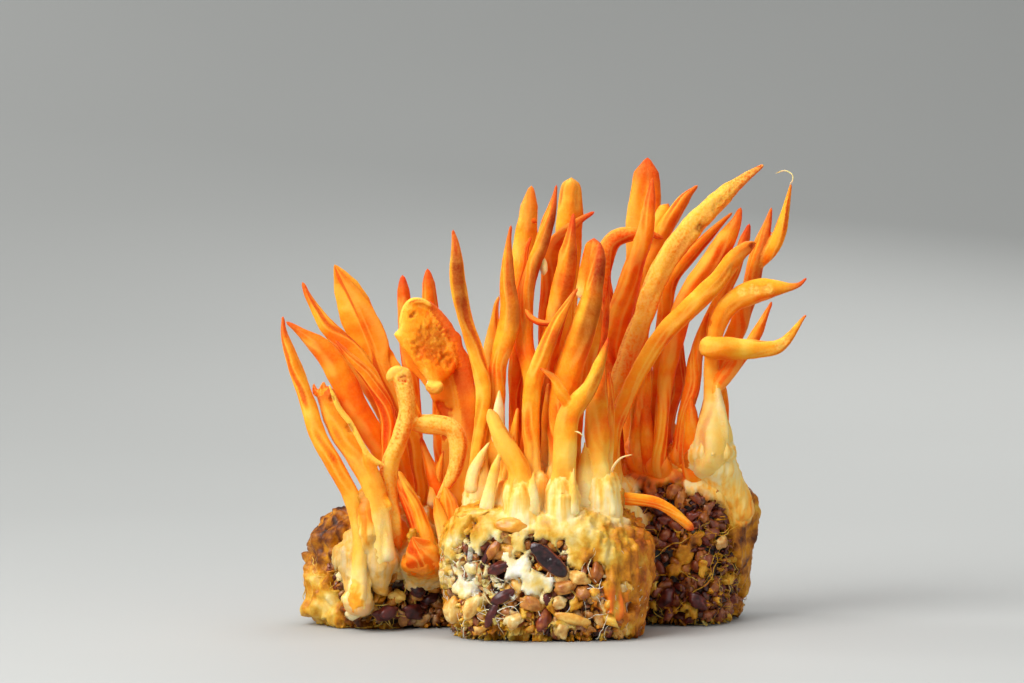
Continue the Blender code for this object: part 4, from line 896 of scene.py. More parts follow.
def grain_tree():
    """Packs grains onto the faces it is given: spaced points, one of the bin's shapes on each, laid
    flat on the surface, turned at random and half sunk, with a shade of its own."""
    tree, given, result = new_group("pack_grains", {
        "Spacing": 2.4 * MM, "Density": 900000.0, "Sink": 0.0, "Smallest": 0.6, "Largest": 1.1,
        "Tilt": 0.6, "Seed": 1, "Darkest": 0.0, "Palest": 1.0, "Gold Share": 0.2, "Film": 0.3},
        {"Grains": "NodeSocketCollection", "Skin": "NodeSocketMaterial"})
    take = given.outputs
    spots = add_node(tree, "GeometryNodeDistributePointsOnFaces", {
        "Mesh": take["Geometry"], "Distance Min": take["Spacing"], "Density Max": take["Density"],
        "Seed": take["Seed"]}, distribute_method="POISSON")
    shapes = add_node(tree, "GeometryNodeCollectionInfo", {"Collection": take["Grains"],
                      "Separate Children": True, "Reset Children": True})
    tilt_low = add_node(tree, MATH, (take["Tilt"], -1.0), operation="MULTIPLY")
    low = add_node(tree, "ShaderNodeCombineXYZ", (tilt_low, tilt_low, 0.0))
    high = add_node(tree, "ShaderNodeCombineXYZ", (take["Tilt"], take["Tilt"], 2 * math.pi))
    spin = add_node(tree, "FunctionNodeRandomValue", {"Min": low, "Max": high,
                    "Seed": take["Seed"]}, data_type="FLOAT_VECTOR")
    turned = add_node(tree, "FunctionNodeRotateEuler", {"Rotation": spots.outputs["Rotation"],
                      "Rotate By": spin.outputs["Value"]}, rotation_type="EULER", space="LOCAL")
    size = add_node(tree, "FunctionNodeRandomValue", {"Min": take["Smallest"], "Max": take["Largest"],
                    "Seed": take["Seed"]}, data_type="FLOAT")
    sink = add_node(tree, VECTOR_MATH, {0: spots.outputs["Normal"], "Scale": take["Sink"]},
                    operation="SCALE")
    sunk = add_node(tree, "GeometryNodeSetPosition", {"Geometry": spots.outputs["Points"], "Offset": sink})
    shade = add_node(tree, "FunctionNodeRandomValue", {"Min": take["Darkest"], "Max": take["Palest"],
                     "Seed": take["Seed"]}, data_type="FLOAT")
    luck = add_node(tree, "FunctionNodeRandomValue", {"Min": 0.0, "Max": 1.0, "ID": 7,
                    "Seed": take["Seed"]}, data_type="FLOAT")
    chance = add_node(tree, "FunctionNodeRandomValue", {"Min": -1.0, "Max": 1.0}, data_type="FLOAT")
    lucky = add_node(tree, MATH, (chance.outputs["Value"], take["Gold Share"]))
    gold = add_node(tree, MATH, (lucky, luck.outputs["Value"]), operation="MULTIPLY", use_clamp=True)
    placed = add_node(tree, "GeometryNodeInstanceOnPoints", {
        "Points": sunk, "Instance": shapes, "Pick Instance": True, "Rotation": turned,
        "Scale": size.outputs["Value"]})
    geometry = placed.outputs[0]
    for name, value in (("shade", shade.outputs["Value"]), ("gold", gold.outputs[0]),
                        ("film", take["Film"])):
        store = add_node(tree, "GeometryNodeStoreNamedAttribute", {"Geometry": geometry, "Name": name,
                         "Value": value}, data_type="FLOAT", domain="INSTANCE")
        geometry = store.outputs[0]
    return finish_group(tree, geometry, take["Skin"], result)


def thread_tree():
    """Turns drawn lines into round threads whose thickness is stored on the line."""
    tree, given, result = new_group("spin_threads", {"Thickness": 0.2 * MM},
                                    {"Felt": "NodeSocketMaterial"})
    take = given.outputs
    line = add_node(tree, "GeometryNodeMeshToCurve", {"Mesh": take["Geometry"]})
    smooth = add_node(tree, "GeometryNodeCurveSplineType", {"Curve": line}, spline_type="CATMULL_ROM")
    dense = add_node(tree, "GeometryNodeSetSplineResolution", {"Geometry": smooth, "Resolution": 2})
    girth = add_node(tree, "GeometryNodeInputNamedAttribute", {"Name": "girth"}, data_type="FLOAT")
    radius = add_node(tree, MATH, (girth, take["Thickness"]), operation="MULTIPLY")
    ring = add_node(tree, "GeometryNodeCurvePrimitiveCircle", {"Resolution": 5, "Radius": 1.0})
    tube = add_node(tree, "GeometryNodeCurveToMesh", {"Curve": dense, "Scale": radius,
                    "Profile Curve": ring, "Fill Caps": True})
    round_off = add_node(tree, "GeometryNodeSetShadeSmooth", {"Geometry": tube})
    return finish_group(tree, round_off, take["Felt"], result)


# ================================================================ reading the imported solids
def ring_layers(start):
    """The loops of vertices around a solid's end point, one after another, to its other end."""
    seen = {start}
    layer = [start]
    layers = [layer]
    while layer:
        following = []
        for vertex in layer:
            for edge in vertex.link_edges:
                other = edge.other_vert(vertex)
                if other not in seen:
                    seen.add(other)
                    following.append(other)
        if following:
            layers.append(following)
        layer = following
    return layers


def club_line(name):
    """A packed club's middle line from foot to tip: (centre, half width, half depth) for each ring."""
    bm = bmesh.new()
    bm.from_mesh(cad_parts[name].data)
    bmesh.ops.remove_doubles(bm, verts=bm.verts, dist=MERGE)
    best = None
    for vertex in bm.verts:
        if len(vertex.link_edges) != SOLID_SIDES:
            continue
        layers = ring_layers(vertex)
        whole = [layer for layer in layers if len(layer) == SOLID_SIDES]
        if len(layers) - len(whole) > 2:
            continue
        middle = sum((v.co for v in whole[0]), Vector()) / SOLID_SIDES
        stand_off = (vertex.co - middle).length
        if best is None or stand_off > best[0]:
            best = (stand_off, vertex.co.copy(), [[v.co.copy() for v in layer] for layer in whole])
    bm.free()
    _, tip, rings = best
    rings.reverse()
    middles = [sum(ring, Vector()) / len(ring) for ring in rings]
    line = []
    for i, (ring, middle) in enumerate(zip(rings, middles)):
        way = (middles[min(i + 1, len(rings) - 1)] - middles[max(i - 1, 0)]).normalized()
        side = way.cross(Vector((0, 1, 0))).normalized()
        deep = side.cross(way).normalized()
        half_width = math.sqrt(2 * sum((v - middle).dot(side) ** 2 for v in ring) / len(ring))
        half_depth = math.sqrt(2 * sum((v - middle).dot(deep) ** 2 for v in ring) / len(ring))
        line.append((middle, half_width, half_depth))
    line.append((tip, line[-1][1] * 0.9, line[-1][2] * 0.9))
    return line


CLUB_NAMES = [n for n in sorted(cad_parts)
              if not n.endswith(("_grain_cake", "_mycelium_mat")) and n != "dark_husk"]
CLUB_LINES = {name: club_line(name) for name in CLUB_NAMES}


def nearest_on_line(name, place):
    """The place on a club's middle line nearest to another place, and the half width there."""
    best = None
    for (low, low_width, _), (high, high_width, _) in zip(CLUB_LINES[name], CLUB_LINES[name][1:]):
        for i in range(9):
            spot = low.lerp(high, i / 8)
            gap = (spot - place).length
            if best is None or gap < best[0]:
                best = (gap, spot, low_width + (high_width - low_width) * i / 8)
    return best[1], best[2]


# ================================================================ clubs
MAT_BOXES = {cake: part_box(cake + "_mycelium_mat") for cake in CAKES}


def with_root(name, line):
    """The line run on past its foot, down and inward into the mat, or into the club it branches from."""
    (first, width, depth), (second, _, _) = line[0], line[1]
    back = (first - second).normalized()
    if name in BRANCHES:
        join, join_width = nearest_on_line(BRANCHES[name], first + back * BRANCH_REACH)
        thin = min(width, join_width) * BRANCH_ROOT
        return [(join, thin, min(depth, thin))] + line
    cake = name.split("_")[0]
    low, high = MAT_BOXES[cake]
    inward = (low + high) / 2 - first
    inward.z = 0.0
    lean = inward.normalized() * ROOT_LEAN[cake] * ROOT_DEPTH
    if name not in FRONT_FEET:
        return [(first + back * ROOT_DEPTH + lean, width, depth)] + line
    drawn = []
    for place, half_width, half_depth in line:
        setback = FRONT_FEET[name] * MM * blend(FRONT_BEND, 0, (place.z - first.z) / MM)
        drawn.append((place + Vector((0, setback, 0)), half_width, half_depth))
    root = drawn[0][0] + back * FRONT_ROOT_DEPTH + lean
    return [(root, width * FRONT_ROOT, depth * FRONT_ROOT)] + drawn


def grow(name, line, looks, tree, flesh, sides):
    """One club's finished mesh, grown along a line."""
    mesh = bpy.data.meshes.new(name)
    mesh.from_pydata([p for p, _, _ in line], [(i, i + 1) for i in range(len(line) - 1)], [])
    set_attribute(mesh, "half_width", [half_width for _, half_width, _ in line])
    set_attribute(mesh, "half_depth", [half_depth for _, _, half_depth in line])
    seed = looks["seed"]
    if seed is None:
        seed = (sum(ord(c) * (i + 1) for i, c in enumerate(name)) % 997) / 10.0
    return run_group(new_piece(name, mesh), tree, {
        "Ring Step": CLUB_STEP, "Sides": sides, "Furrow Depth": looks["furrow"],
        "Furrow Turn": looks["twist"] * 2 * math.pi, "Flatness": looks["flat"], "Cup": looks["cup"],
        "Tip Length": looks["taper"] * MM, "Lump Height": looks["lumps"], "Lump Scale": 240.0,
        "Seed": seed, "Pale Foot": looks["pale"] * MM, "Tone": looks["tone"], "Blush": looks["blush"],
        "Powder": looks["powder"], "Stripe": looks["stripe"], "Stripe Side": looks["side"],
        "Crease": looks["crease"], "Least Crease": looks["whole"], "Flesh": flesh})


def from_lip(x, z):
    """How far in mm a place on the hood's face lies up and in from its lip's lower left corner."""
    lip_x, lip_z = -30.5, 58.9
    return (x - lip_x) * 0.82 + (z - lip_z) * 0.57


def hood_face():
    """The hood's drooping face: a domed plate that stands out from the hood, most at its lower lip."""
    lip_stand_off, fall, face_length = 4.2, 5.2, 12.0
    back_y = nearest_on_line("left_hood", Vector((-22.5, 2.0, 56.0)) * MM)[0].y / MM
    corners = [Vector((x, 0, z)) for x, z in HOOD_FACE]
    outline = []
    for start, end in zip(corners, corners[1:] + corners[:1]):
        outline += [start, start.lerp(end, 1 / 3), start.lerp(end, 2 / 3)]
    middle = sum(outline, Vector()) / len(outline)
    bm = bmesh.new()
    loops = []
    for share, bulge in ((0.0, 1.4), (0.25, 1.35), (0.5, 1.2), (0.75, 0.95), (0.9, 0.6), (1.0, 0.0),
                         (0.9, -0.5), (0.6, -0.9), (0.0, -1.0)):
        loop = []
        for corner in outline if share else outline[:1]:
            x, _, z = middle.lerp(corner, share)
            proud = lip_stand_off - fall * blend(0.0, face_length, from_lip(x, z)) + bulge
            loop.append(bm.verts.new(Vector((x, back_y - proud, z)) * MM))
        loops.append(loop)
    for near, far in zip(loops, loops[1:]):
        count = max(len(near), len(far))
        for i in range(count):
            ring = (near[i % len(near)], near[(i + 1) % len(near)],
                    far[(i + 1) % len(far)], far[i % len(far)])
            bm.faces.new(list(dict.fromkeys(ring)))
    bmesh.ops.recalc_face_normals(bm, faces=bm.faces)
    mesh = new_mesh("left_hood_face", bm)
    flat = {"along": 0.5, "furrow": 0.0, "foot_height": 3.0, "blush": 0.0, "powder": 0.15, "stripe": 0.0}
    for label, value in flat.items():
        set_attribute(mesh, label, [value] * len(mesh.vertices))
    set_attribute(mesh, "tone", [0.18 + 0.24 * blend(0.6, 4.0, from_lip(v.co.x / MM, v.co.z / MM))
                                 for v in mesh.vertices])
    # painted light: how far the face turns toward the window light
    set_attribute(mesh, "upper", [v.normal.dot(Vector(LIT_SIDE)) for v in mesh.vertices])
    fibres = [value for v in mesh.vertices for value in (v.co.x * 400, v.co.y * 400, v.co.z * 45)]
    set_attribute(mesh, "fibre", fibres, "FLOAT_VECTOR", "vector")
    return new_piece("left_hood_face", mesh)


def melt(host, pieces, flesh):
    """Melt a club and what grows out of it into one piece, where each place keeps its own looks, then
    scar it."""
    bm = bmesh.new()
    looks = {label: [] for label in FLESH_VALUES}
    fibres = []
    for piece in pieces:
        bm.from_mesh(piece.data)
        for label in FLESH_VALUES:
            looks[label] += [entry.value for entry in piece.data.attributes[label].data]
        fibres += [entry.vector.copy() for entry in piece.data.attributes["fibre"].data]
        bpy.data.objects.remove(piece)
    search = search_tree([vertex.co for vertex in bm.verts])
    melted = fuse(host + "_flesh", bm, MELT_VOXEL, 2)
    mesh = melted.data
    new_looks = {label: [] for label in FLESH_VALUES}
    new_fibres = []
    places = []
    for vertex in mesh.vertices:
        near = [i for _, i, _ in search.find_n(vertex.co, 3)]
        here = {label: sum(looks[label][i] for i in near) / 3 for label in FLESH_VALUES}
        new_fibres.extend(fibres[near[0]])
        place = vertex.co.copy()
        for x, z, radius, look, strength, deep in SCARS.get(host, ()):
            gap = math.hypot(place.x / MM - x, place.z / MM - z) / radius
            ragged = noise.noise(place / (0.9 * MM)) * 0.35
            share = (1 - blend(0.55, 1.05, gap + ragged)) * (1 - blend(-0.2, 0.3, vertex.normal.y))
            rough = noise.fractal(place / (0.8 * MM), 0.9, 2.0, 3) * 0.15
            place -= vertex.normal * (deep + rough) * share * MM
            here[look] = max(here[look], strength * share)
        places.append(place)
        for label in FLESH_VALUES:
            new_looks[label].append(here[label])
    move_vertices(mesh, places)
    for label in FLESH_VALUES:
        set_attribute(mesh, label, new_looks[label])
    set_attribute(mesh, "fibre", new_fibres, "FLOAT_VECTOR", "vector")
    mesh.materials.clear()
    mesh.materials.append(flesh)
    return melted


def build_clubs():
    """Every club and small growth, with those that grow together melted into one."""
    flesh = club_flesh()
    tree = club_tree()
    grown = {}
    for name in CLUB_NAMES:
        looks = {**CLUB_DEFAULT, **CLUB_LOOKS.get(name, {})}
        line = with_root(name, CLUB_LINES[name])
        grown[name] = grow(name + "_flesh", line, looks, tree, flesh, CLUB_SIDES)
    for name, host, proud, sprig_looks, places in SPRIGS:
        foot_x, foot_z, _ = places[0]
        near, _ = nearest_on_line(host, Vector((foot_x * MM, CLUB_LINES[host][0][0].y, foot_z * MM)))
        line = [(Vector((x * MM, near.y - proud * MM, z * MM)), width / 2 * MM, width / 2 * MM)
                for x, z, width in places]
        looks = {**CLUB_DEFAULT, **SPRIG_LOOKS, **sprig_looks}
        grown[name] = grow(name, line, looks, tree, flesh, SPRIG_SIDES)
    grown["left_hood_face"] = hood_face()
    packed = {name: [name] for name in CLUB_NAMES}
    for host, others in MELTED.items():
        pieces = [grown.pop(host)] + [grown.pop(other) for other in others]
        grown[host] = melt(host, pieces, flesh)
        packed[host] += [other for other in others if other in CLUB_LINES]
    for name, piece in grown.items():
        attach(piece, BODY)
        if name in packed:
            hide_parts(*packed[name])


# ================================================================ skins and grain cakes
def solid_copy(bm, name, swell=0.0):
    """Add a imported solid's welded mesh to a bmesh, swollen a little along its normals."""
    part = bmesh.new()
    part.from_mesh(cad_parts[name].data)
    bmesh.ops.remove_doubles(part, verts=part.verts, dist=MERGE)
    part.normal_update()
    for vertex, place in [(v, v.co + v.normal * swell) for v in part.verts]:
        vertex.co = place
    add_part(bm, part)


def fuse(name, bm, voxel, smoothing):
    """Melt overlapping closed shapes into one smooth skin."""
    piece = new_piece(name, new_mesh(name, bm))
    remesh = piece.modifiers.new("fuse", "REMESH")
    remesh.mode = "VOXEL"
    remesh.voxel_size = voxel
    remesh.use_smooth_shade = True
    smooth = piece.modifiers.new("soften", "SMOOTH")
    smooth.iterations = smoothing
    return keep_result(piece)


def finish_piece(piece, material, slot, *nodes):
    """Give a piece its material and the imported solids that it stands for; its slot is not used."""
    piece.data.materials.clear()
    piece.data.materials.append(material)
    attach(piece, BODY)
    if nodes:
        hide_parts(*nodes)
    return piece


def height_on(points, x):
    """The height at x on a line through (x, height) points."""
    if x <= points[0][0]:
        return points[0][1]
    for (x0, z0), (x1, z1) in zip(points, points[1:]):
        if x <= x1:
            return z0 + (z1 - z0) * (x - x0) / (x1 - x0)
    return points[-1][1]


def hem_here(cake, x, facing_front):
    """The height in mm of the unbroken skin's lower edge."""
    return height_on(HEM[cake], x) * facing_front + HEM_BEHIND[cake] * (1 - facing_front)


def cover_at(cake, place, normal):
    """How surely skin covers a place: -1 is bare grain, 1 is unbroken skin."""
    x, y, z = place / MM
    facing_front = 1 - blend(-0.3, 0.4, normal.y)
    shift = CAKES.index(cake) * 17.3

    # the hem hangs in wide and narrow drips
    drips = noise.noise(Vector((x * 0.42 + shift, y * 0.42, z * 0.08))) * 5.5
    drips += noise.noise(Vector((x * 1.1, y * 1.1 + shift, z * 0.2))) * 1.8
    over = (z - hem_here(cake, x, facing_front) + drips) / 2.4

    # patches and strands of young skin below it
    bar, strand = {"left": (0.24, 0.1), "centre": (0.42, 0.075), "right": (0.55, 0.035)}[cake]
    patches = (noise.fractal(Vector((x, y + shift, z * 0.7)) * 0.3, 1.0, 2.0, 3) - bar) * 3.2
    strands = (strand - abs(noise.noise(Vector((x + shift, y, z * 0.8)) * 0.42))) * 7
    cover = max(over, patches, strands)

    # the listed patches and hollows, with ragged edges
    ragged = noise.noise(Vector((x + shift, y, z)) * 0.8) * 0.8
    if facing_front > 0.5:
        for at_x, at_z, radius in PATCHES[cake]:
            gap = math.hypot(x - at_x, z - at_z) + ragged
            cover = max(cover, (radius - gap) / 1.1)
        for at_x, at_z, radius in HOLLOWS[cake]:
            gap = math.hypot(x - at_x, z - at_z) + ragged * 0.6
            cover = min(cover, (gap - radius) / 0.9)
    return min(max(cover, -1.0), 1.0)


def skin_age(cake, x, z, facing_front):
    """0 is fresh white mycelium, 1 is old and brown, for a place in mm."""
    if cake == "centre":
        fresh = 0.17 + 0.34 * blend(16, 23, z) + 0.36 * blend(9.5, 6, z) + 0.2 * blend(-16, -19, x)
        old = 0.63 + 0.08 * blend(10, 18, x) - 0.16 * blend(13, 22, z) * (1 - blend(12, 16, x))
        return fresh + (old - fresh) * max(blend(2, 8, x), 1 - facing_front)
    if cake == "left":
        pale_lump = 0.3 * blend(-39, -42, x) * blend(15, 5, z)
        return 0.8 - pale_lump - 0.22 * blend(10, 22, z) * blend(-41, -35, x)
    edge = blend(37.5, 39.5, x)
    return (0.64 + 0.26 * blend(20, 27, z)) * (1 - edge) + 0.75 * edge


def skin_stain(cake, x, z, facing_front):
    """How far the club's orange has run into the skin."""
    if cake == "centre":
        spots = 0.8 * blend(9, 11.5, x) * blend(16.5, 14, x) * blend(12, 8, z) * blend(2, 5, z)
        return spots * facing_front + 0.22 * blend(15, 18, x)
    if cake == "left":
        end = blend(-39.4, -38.4, x) * blend(-34.5, -36, x) * blend(12, 9, z) * blend(2.5, 4.5, z)
        return 0.7 * end * facing_front
    return 0.6 * blend(22, 29, z) * (1 - 0.7 * blend(37.5, 39.5, x))


def foot_samples(cake):
    """Places up the lower part of every club on a cake: (place, half width, half depth, share of the
    web's rise, share of the cream foot)."""
    samples = []
    for name in CLUB_NAMES:
        if not name.startswith(cake) or name in BRANCHES:
            continue
        looks = {**CLUB_DEFAULT, **CLUB_LOOKS.get(name, {})}
        web = looks["web"] * MM
        run = -ROOT_DEPTH
        rooted = with_root(name, CLUB_LINES[name])
        for (low, w0, d0), (high, w1, d1) in zip(rooted, rooted[1:]):
            steps = max(1, int((high - low).length / WEB_STEP))
            for i in range(steps):
                share = i / steps
                if run > web:
                    break
                foot = (run + ROOT_DEPTH) / max(looks["pale"] * MM, 0.0001)
                samples.append((low.lerp(high, share), w0 + (w1 - w0) * share, d0 + (d1 - d0) * share,
                                max(run, 0.0) / web, foot))
                run += (high - low).length / steps
    for strand in SKIRTS[cake]:
        for (x0, y0, z0, r0, orange0), (x1, y1, z1, r1, orange1) in zip(strand, strand[1:]):
            low, high = Vector((x0, y0, z0)) * MM, Vector((x1, y1, z1)) * MM
            steps = max(1, round((high - low).length / SKIRT_STEP))
            for i in range(steps + 1):
                share = i / steps
                radius = (r0 + (r1 - r0) * share) * MM
                samples.append((low.lerp(high, share), radius, radius, 0.0,
                                orange0 + (orange1 - orange0) * share))
    return samples


def cake_body(cake):
    """A bmesh of a cake's mat and grain cake, both swollen a little."""
    bm = bmesh.new()
    solid_copy(bm, cake + "_mycelium_mat", SWELL)
    solid_copy(bm, cake + "_grain_cake", SWELL)
    return bm


def add_webs(bm, cake, samples):
    """A stack of balls up every club's foot, wide at the mat and sunk into the club at the top."""
    setback = Vector((0, WEB_SETBACK[cake], 0)) * MM
    for place, width, depth, rise, _ in samples:
        spread = (0.5 - 1.5 * blend(0.0, 0.75, rise)) * MM
        radii = (max(width + spread, 0.3 * MM), max(depth + spread, 0.3 * MM), 1.5 * MM, 1.0)
        bmesh.ops.create_icosphere(bm, subdivisions=2, radius=1.0,
                                   matrix=Matrix.Translation(place + setback) @ Matrix.Diagonal(radii))


def build_skin(cake, material):
    """The skin of mycelium: it covers the mat and climbs the clubs' feet, runs down over the grains in
    tongues and patches, and dips out of sight under the crust elsewhere."""
    samples = foot_samples(cake)
    bm = cake_body(cake)
    add_webs(bm, cake, samples)
    piece = fuse(cake + "_mycelium_skin", bm, SKIN_VOXEL, 7)
    mesh = piece.data
    search = search_tree([place for place, _, _, _, _ in samples])
    shift = Vector((CAKES.index(cake) * 7.3, 2.1, 4.7))
    places = []
    looks = {"age": [], "stain": [], "foot": [], "foot_height": []}
    for vertex in mesh.vertices:
        place, normal = vertex.co, vertex.normal
        x, y, z = place / MM
        facing_front = 1 - blend(-0.3, 0.4, normal.y)
        _, i, _ = search.find(place)
        near, width, depth, rise, foot_height = samples[i]
        away = place - near
        gap = Vector((away.x / width, away.y / depth, away.z / max(width, depth))).length
        foot = (1 - blend(1.2, 2.2, gap)) * blend(-0.12, 0.1, rise + (z > 20))
        cover = cover_at(cake, place, normal)
        cover = max(cover, foot * 2 - 1)

        # grains that show through low on the skin, long folds, and fine wrinkles
        grains = 0.9 - min(noise.voronoi(place / (4.2 * MM) + shift)[0][0], 0.9)
        folds = noise.fractal(Vector((x * 0.9, y * 0.9, z * 0.14)) + shift, 0.9, 2.0, 3) * 0.5
        wrinkle = noise.fractal(Vector((x, y, z)) * 1.1 + shift, 0.9, 2.0, 3) * 0.22
        low = blend(hem_here(cake, x, facing_front) + 9, hem_here(cake, x, facing_front) + 1, z)
        push = 0.75 * blend(-0.3, 0.25, cover) - 2.9 * (1 - blend(-0.45, 0.1, cover))
        silky = blend(5, 10, x) if cake == "centre" else 0.0
        relief = (grains * 1.1 - 0.35) * low * (1 - 0.6 * silky) + folds * (1.4 - low + silky) + wrinkle
        if cake == "left":
            lumps = noise.fractal(Vector((x, y, z)) * 0.3 + shift, 0.9, 2.0, 2)
            relief += lumps * 1.6 * blend(-35, -39, x)
        push += relief * (1 - foot * 0.45) * blend(-0.2, 0.3, cover)

        # the skin climbs the foot in tongues and sinks into the club above them
        tongues = 0.3 * noise.noise(Vector((x * 0.9, y * 0.9, z * 0.1)) + shift)
        climb = blend(0.05, 0.65, rise + tongues * (rise > 0)) * (1 - blend(1.5, 2.4, gap))
        push = push * (1 - climb) - 0.9 * climb
        place = place + normal * push * MM
        place.z = max(place.z, 0.0)
        places.append(place)

        # what the material reads
        clouds = noise.noise(Vector((x, y, z)) * 0.28 + shift)
        looks["age"].append(skin_age(cake, x, z, facing_front) + folds * 0.2 + clouds * 0.22)
        looks["stain"].append(skin_stain(cake, x, z, facing_front) * blend(0.25, 0.6, 0.5 + folds))
        looks["foot"].append(foot)
        sunk = 0.25 + 0.75 * blend(10, 19, z) if cake == "left" else 1.0
        looks["foot_height"].append(foot_height * sunk)
    move_vertices(mesh, places)
    for name, values in looks.items():
        set_attribute(mesh, name, values)
    return finish_piece(piece, material, "mycelium", cake + "_mycelium_mat")


def build_crust(cake, whole, material):
    """The cake's own crumbly body, set back from the skin, and dark between its grains, partly as painted
    shade.
    """
    shift = Vector((3.3, CAKES.index(cake) * 5.1, 1.9))
    piece = new_piece(cake + "_cake_crust", whole.data.copy())
    places = []
    crumb, crumb_relief, set_back, hollow_depth = 2.6, 0.8, 1.3, 1.4
    for vertex in piece.data.vertices:
        x, _, z = vertex.co / MM
        hollow = 0.0
        if vertex.normal.y < 0.2:
            for at_x, at_z, radius in HOLLOWS[cake]:
                hollow = max(hollow, 1 - math.hypot(x - at_x, z - at_z) / radius)
        rough = noise.fractal(vertex.co / (crumb * MM) + shift, 0.9, 2.0, 4) * crumb_relief
        place = vertex.co + vertex.normal * (rough - set_back - hollow * hollow_depth) * MM
        place.z = max(place.z, LOWEST)
        places.append(place)
    move_vertices(piece.data, places)
    return finish_piece(piece, material, "grain_cake", cake + "_grain_cake")


# ================================================================ grains
GRAIN_BIN = bpy.data.collections.new("grain_bin")
CRUMB_BIN = bpy.data.collections.new("crumb_bin")


def unit_ball(fineness):
    """A ball one unit across, from which grains and husks are shaped."""
    bm = bmesh.new()
    bmesh.ops.create_icosphere(bm, subdivisions=fineness, radius=0.5)
    return bm


def keep_shape(name, bm, bin_collection):
    """Hold a small shape in the collection that it is picked from."""
    mesh = new_mesh(name, bm)
    mesh.shade_smooth()
    bin_collection.objects.link(bpy.data.objects.new(name, mesh))


def shape_grain(bm, length, width, bend, rough, seed):
    """Make a unit ball a cooked grain: a plump spindle, bent, wrinkled and chipped."""
    for vertex in bm.verts:
        x, y, z = vertex.co
        taper = 1 - 1.1 * x * x
        dent = 1 + noise.noise(vertex.co * 2.4 + Vector((seed, 0, 0))) * rough
        vertex.co = Vector((x * length * dent, y * width * taper * dent,
                            (z * taper * dent * 0.86 + bend * (0.12 - x * x)) * width))


def shape_husk(bm, length, width, seed):
    """Make a unit ball a seed husk: a thin dished shell with a wavy rim."""
    for vertex in bm.verts:
        x, y, z = vertex.co
        under = -z * 0.62 - 0.06 if z < 0 else z
        narrow = 0.84 if z < 0 else 1.0
        wave = noise.noise(Vector((x * 3, y * 3, seed))) * 0.16
        vertex.co = Vector((x * length * narrow, y * width * narrow, (under * 0.8 + wave) * width))


def fill_bins():
    """The shapes that the grains and crumbs are picked from, and their sizes in mm."""
    for i, (length, width, bend, rough) in enumerate((
            (5.8, 2.5, 0.5, 0.7), (4.6, 2.7, 0.1, 1.0), (3.4, 2.6, -0.3, 1.3), (4.2, 3.2, 0.2, 1.4),
            (2.6, 2.4, 0.0, 1.5))):
        bm = unit_ball(2)
        shape_grain(bm, length * MM, width * MM, bend, rough, i * 3.1)
        keep_shape("grain_%d" % i, bm, GRAIN_BIN)
    for i, (length, width) in enumerate(((5.2, 2.8), (3.8, 3.0))):
        bm = unit_ball(2)
        shape_husk(bm, length * MM, width * MM, i * 2.7)
        keep_shape("husk_%d" % i, bm, GRAIN_BIN)
    for i, (length, width) in enumerate(((2.2, 1.2), (1.6, 1.3), (2.6, 0.9))):
        bm = unit_ball(1)
        shape_grain(bm, length * MM, width * MM, 0.2, 0.9, i * 1.7)
        keep_shape("crumb_%d" % i, bm, CRUMB_BIN)


def bare_faces(cake, whole, name):
    """A new object with only those faces of a cake where its grains show or nearly show."""
    bm = bmesh.new()
    bm.from_mesh(whole.data)
    bm.normal_update()
    drop = []
    for face in bm.faces:
        middle = face.calc_center_median()
        if middle.z < 1.0 * MM or face.normal.z < -0.6 or cover_at(cake, middle, face.normal) > 0.1:
            drop.append(face)
    bmesh.ops.delete(bm, geom=drop, context="FACES")
    return new_piece(name, new_mesh(name, bm))


def lay_chunk(surface, seed, x, z, length, width, turn, shade, proud):
    """One large grain or husk, shaped and laid flat on the front of a cake at x and height z."""
    hit, normal, _, _ = surface.ray_cast(Vector((x * MM, -0.2, z * MM)), Vector((0, 1, 0)))
    if hit is None:
        hit, normal, _, _ = surface.find_nearest(Vector((x * MM, 0.0, z * MM)))
    part = unit_ball(3)
    if length > width * 1.9 and shade < 0.9:
        shape_husk(part, length * MM, width * MM, seed * 1.3)
    else:
        shape_grain(part, length * MM, width * MM, 0.3, 0.5, seed * 1.9)
    across = Vector((math.cos(math.radians(turn)), 0, math.sin(math.radians(turn))))
    long_axis = (across - normal * across.dot(normal)).normalized()
    wide_axis = normal.cross(long_axis)
    place = hit + normal * (proud - 0.35) * MM
    matrix = Matrix((long_axis, wide_axis, normal)).transposed().to_4x4()
    bmesh.ops.transform(part, matrix=Matrix.Translation(place) @ matrix, verts=part.verts)
    return part


def build_chunks(cake, surface, material):
    """The grains and husks that catch the eye, each laid on the cake's front at its listed place."""
    bm = bmesh.new()
    shade_layer = bm.verts.layers.float.new("shade")
    gold_layer = bm.verts.layers.float.new("gold")
    chunks = [(owner, chunk) for owner, owned in CHUNKS.items() for chunk in owned]
    for i, (owner, (x, z, length, width, turn, shade, gold, proud)) in enumerate(chunks):
        if owner != cake:
            continue
        before = len(bm.verts)
        add_part(bm, lay_chunk(surface, i, x, z, length, width, turn, shade, proud))
        bm.verts.ensure_lookup_table()
        for vertex in bm.verts[before:]:
            vertex[shade_layer] = shade
            vertex[gold_layer] = gold
            vertex.co.z = max(vertex.co.z, LOWEST)
    mesh = new_mesh(cake + "_large_grains", bm)
    mesh.shade_smooth()
    finish_piece(new_piece(cake + "_large_grains", mesh), material, "grain_husk")


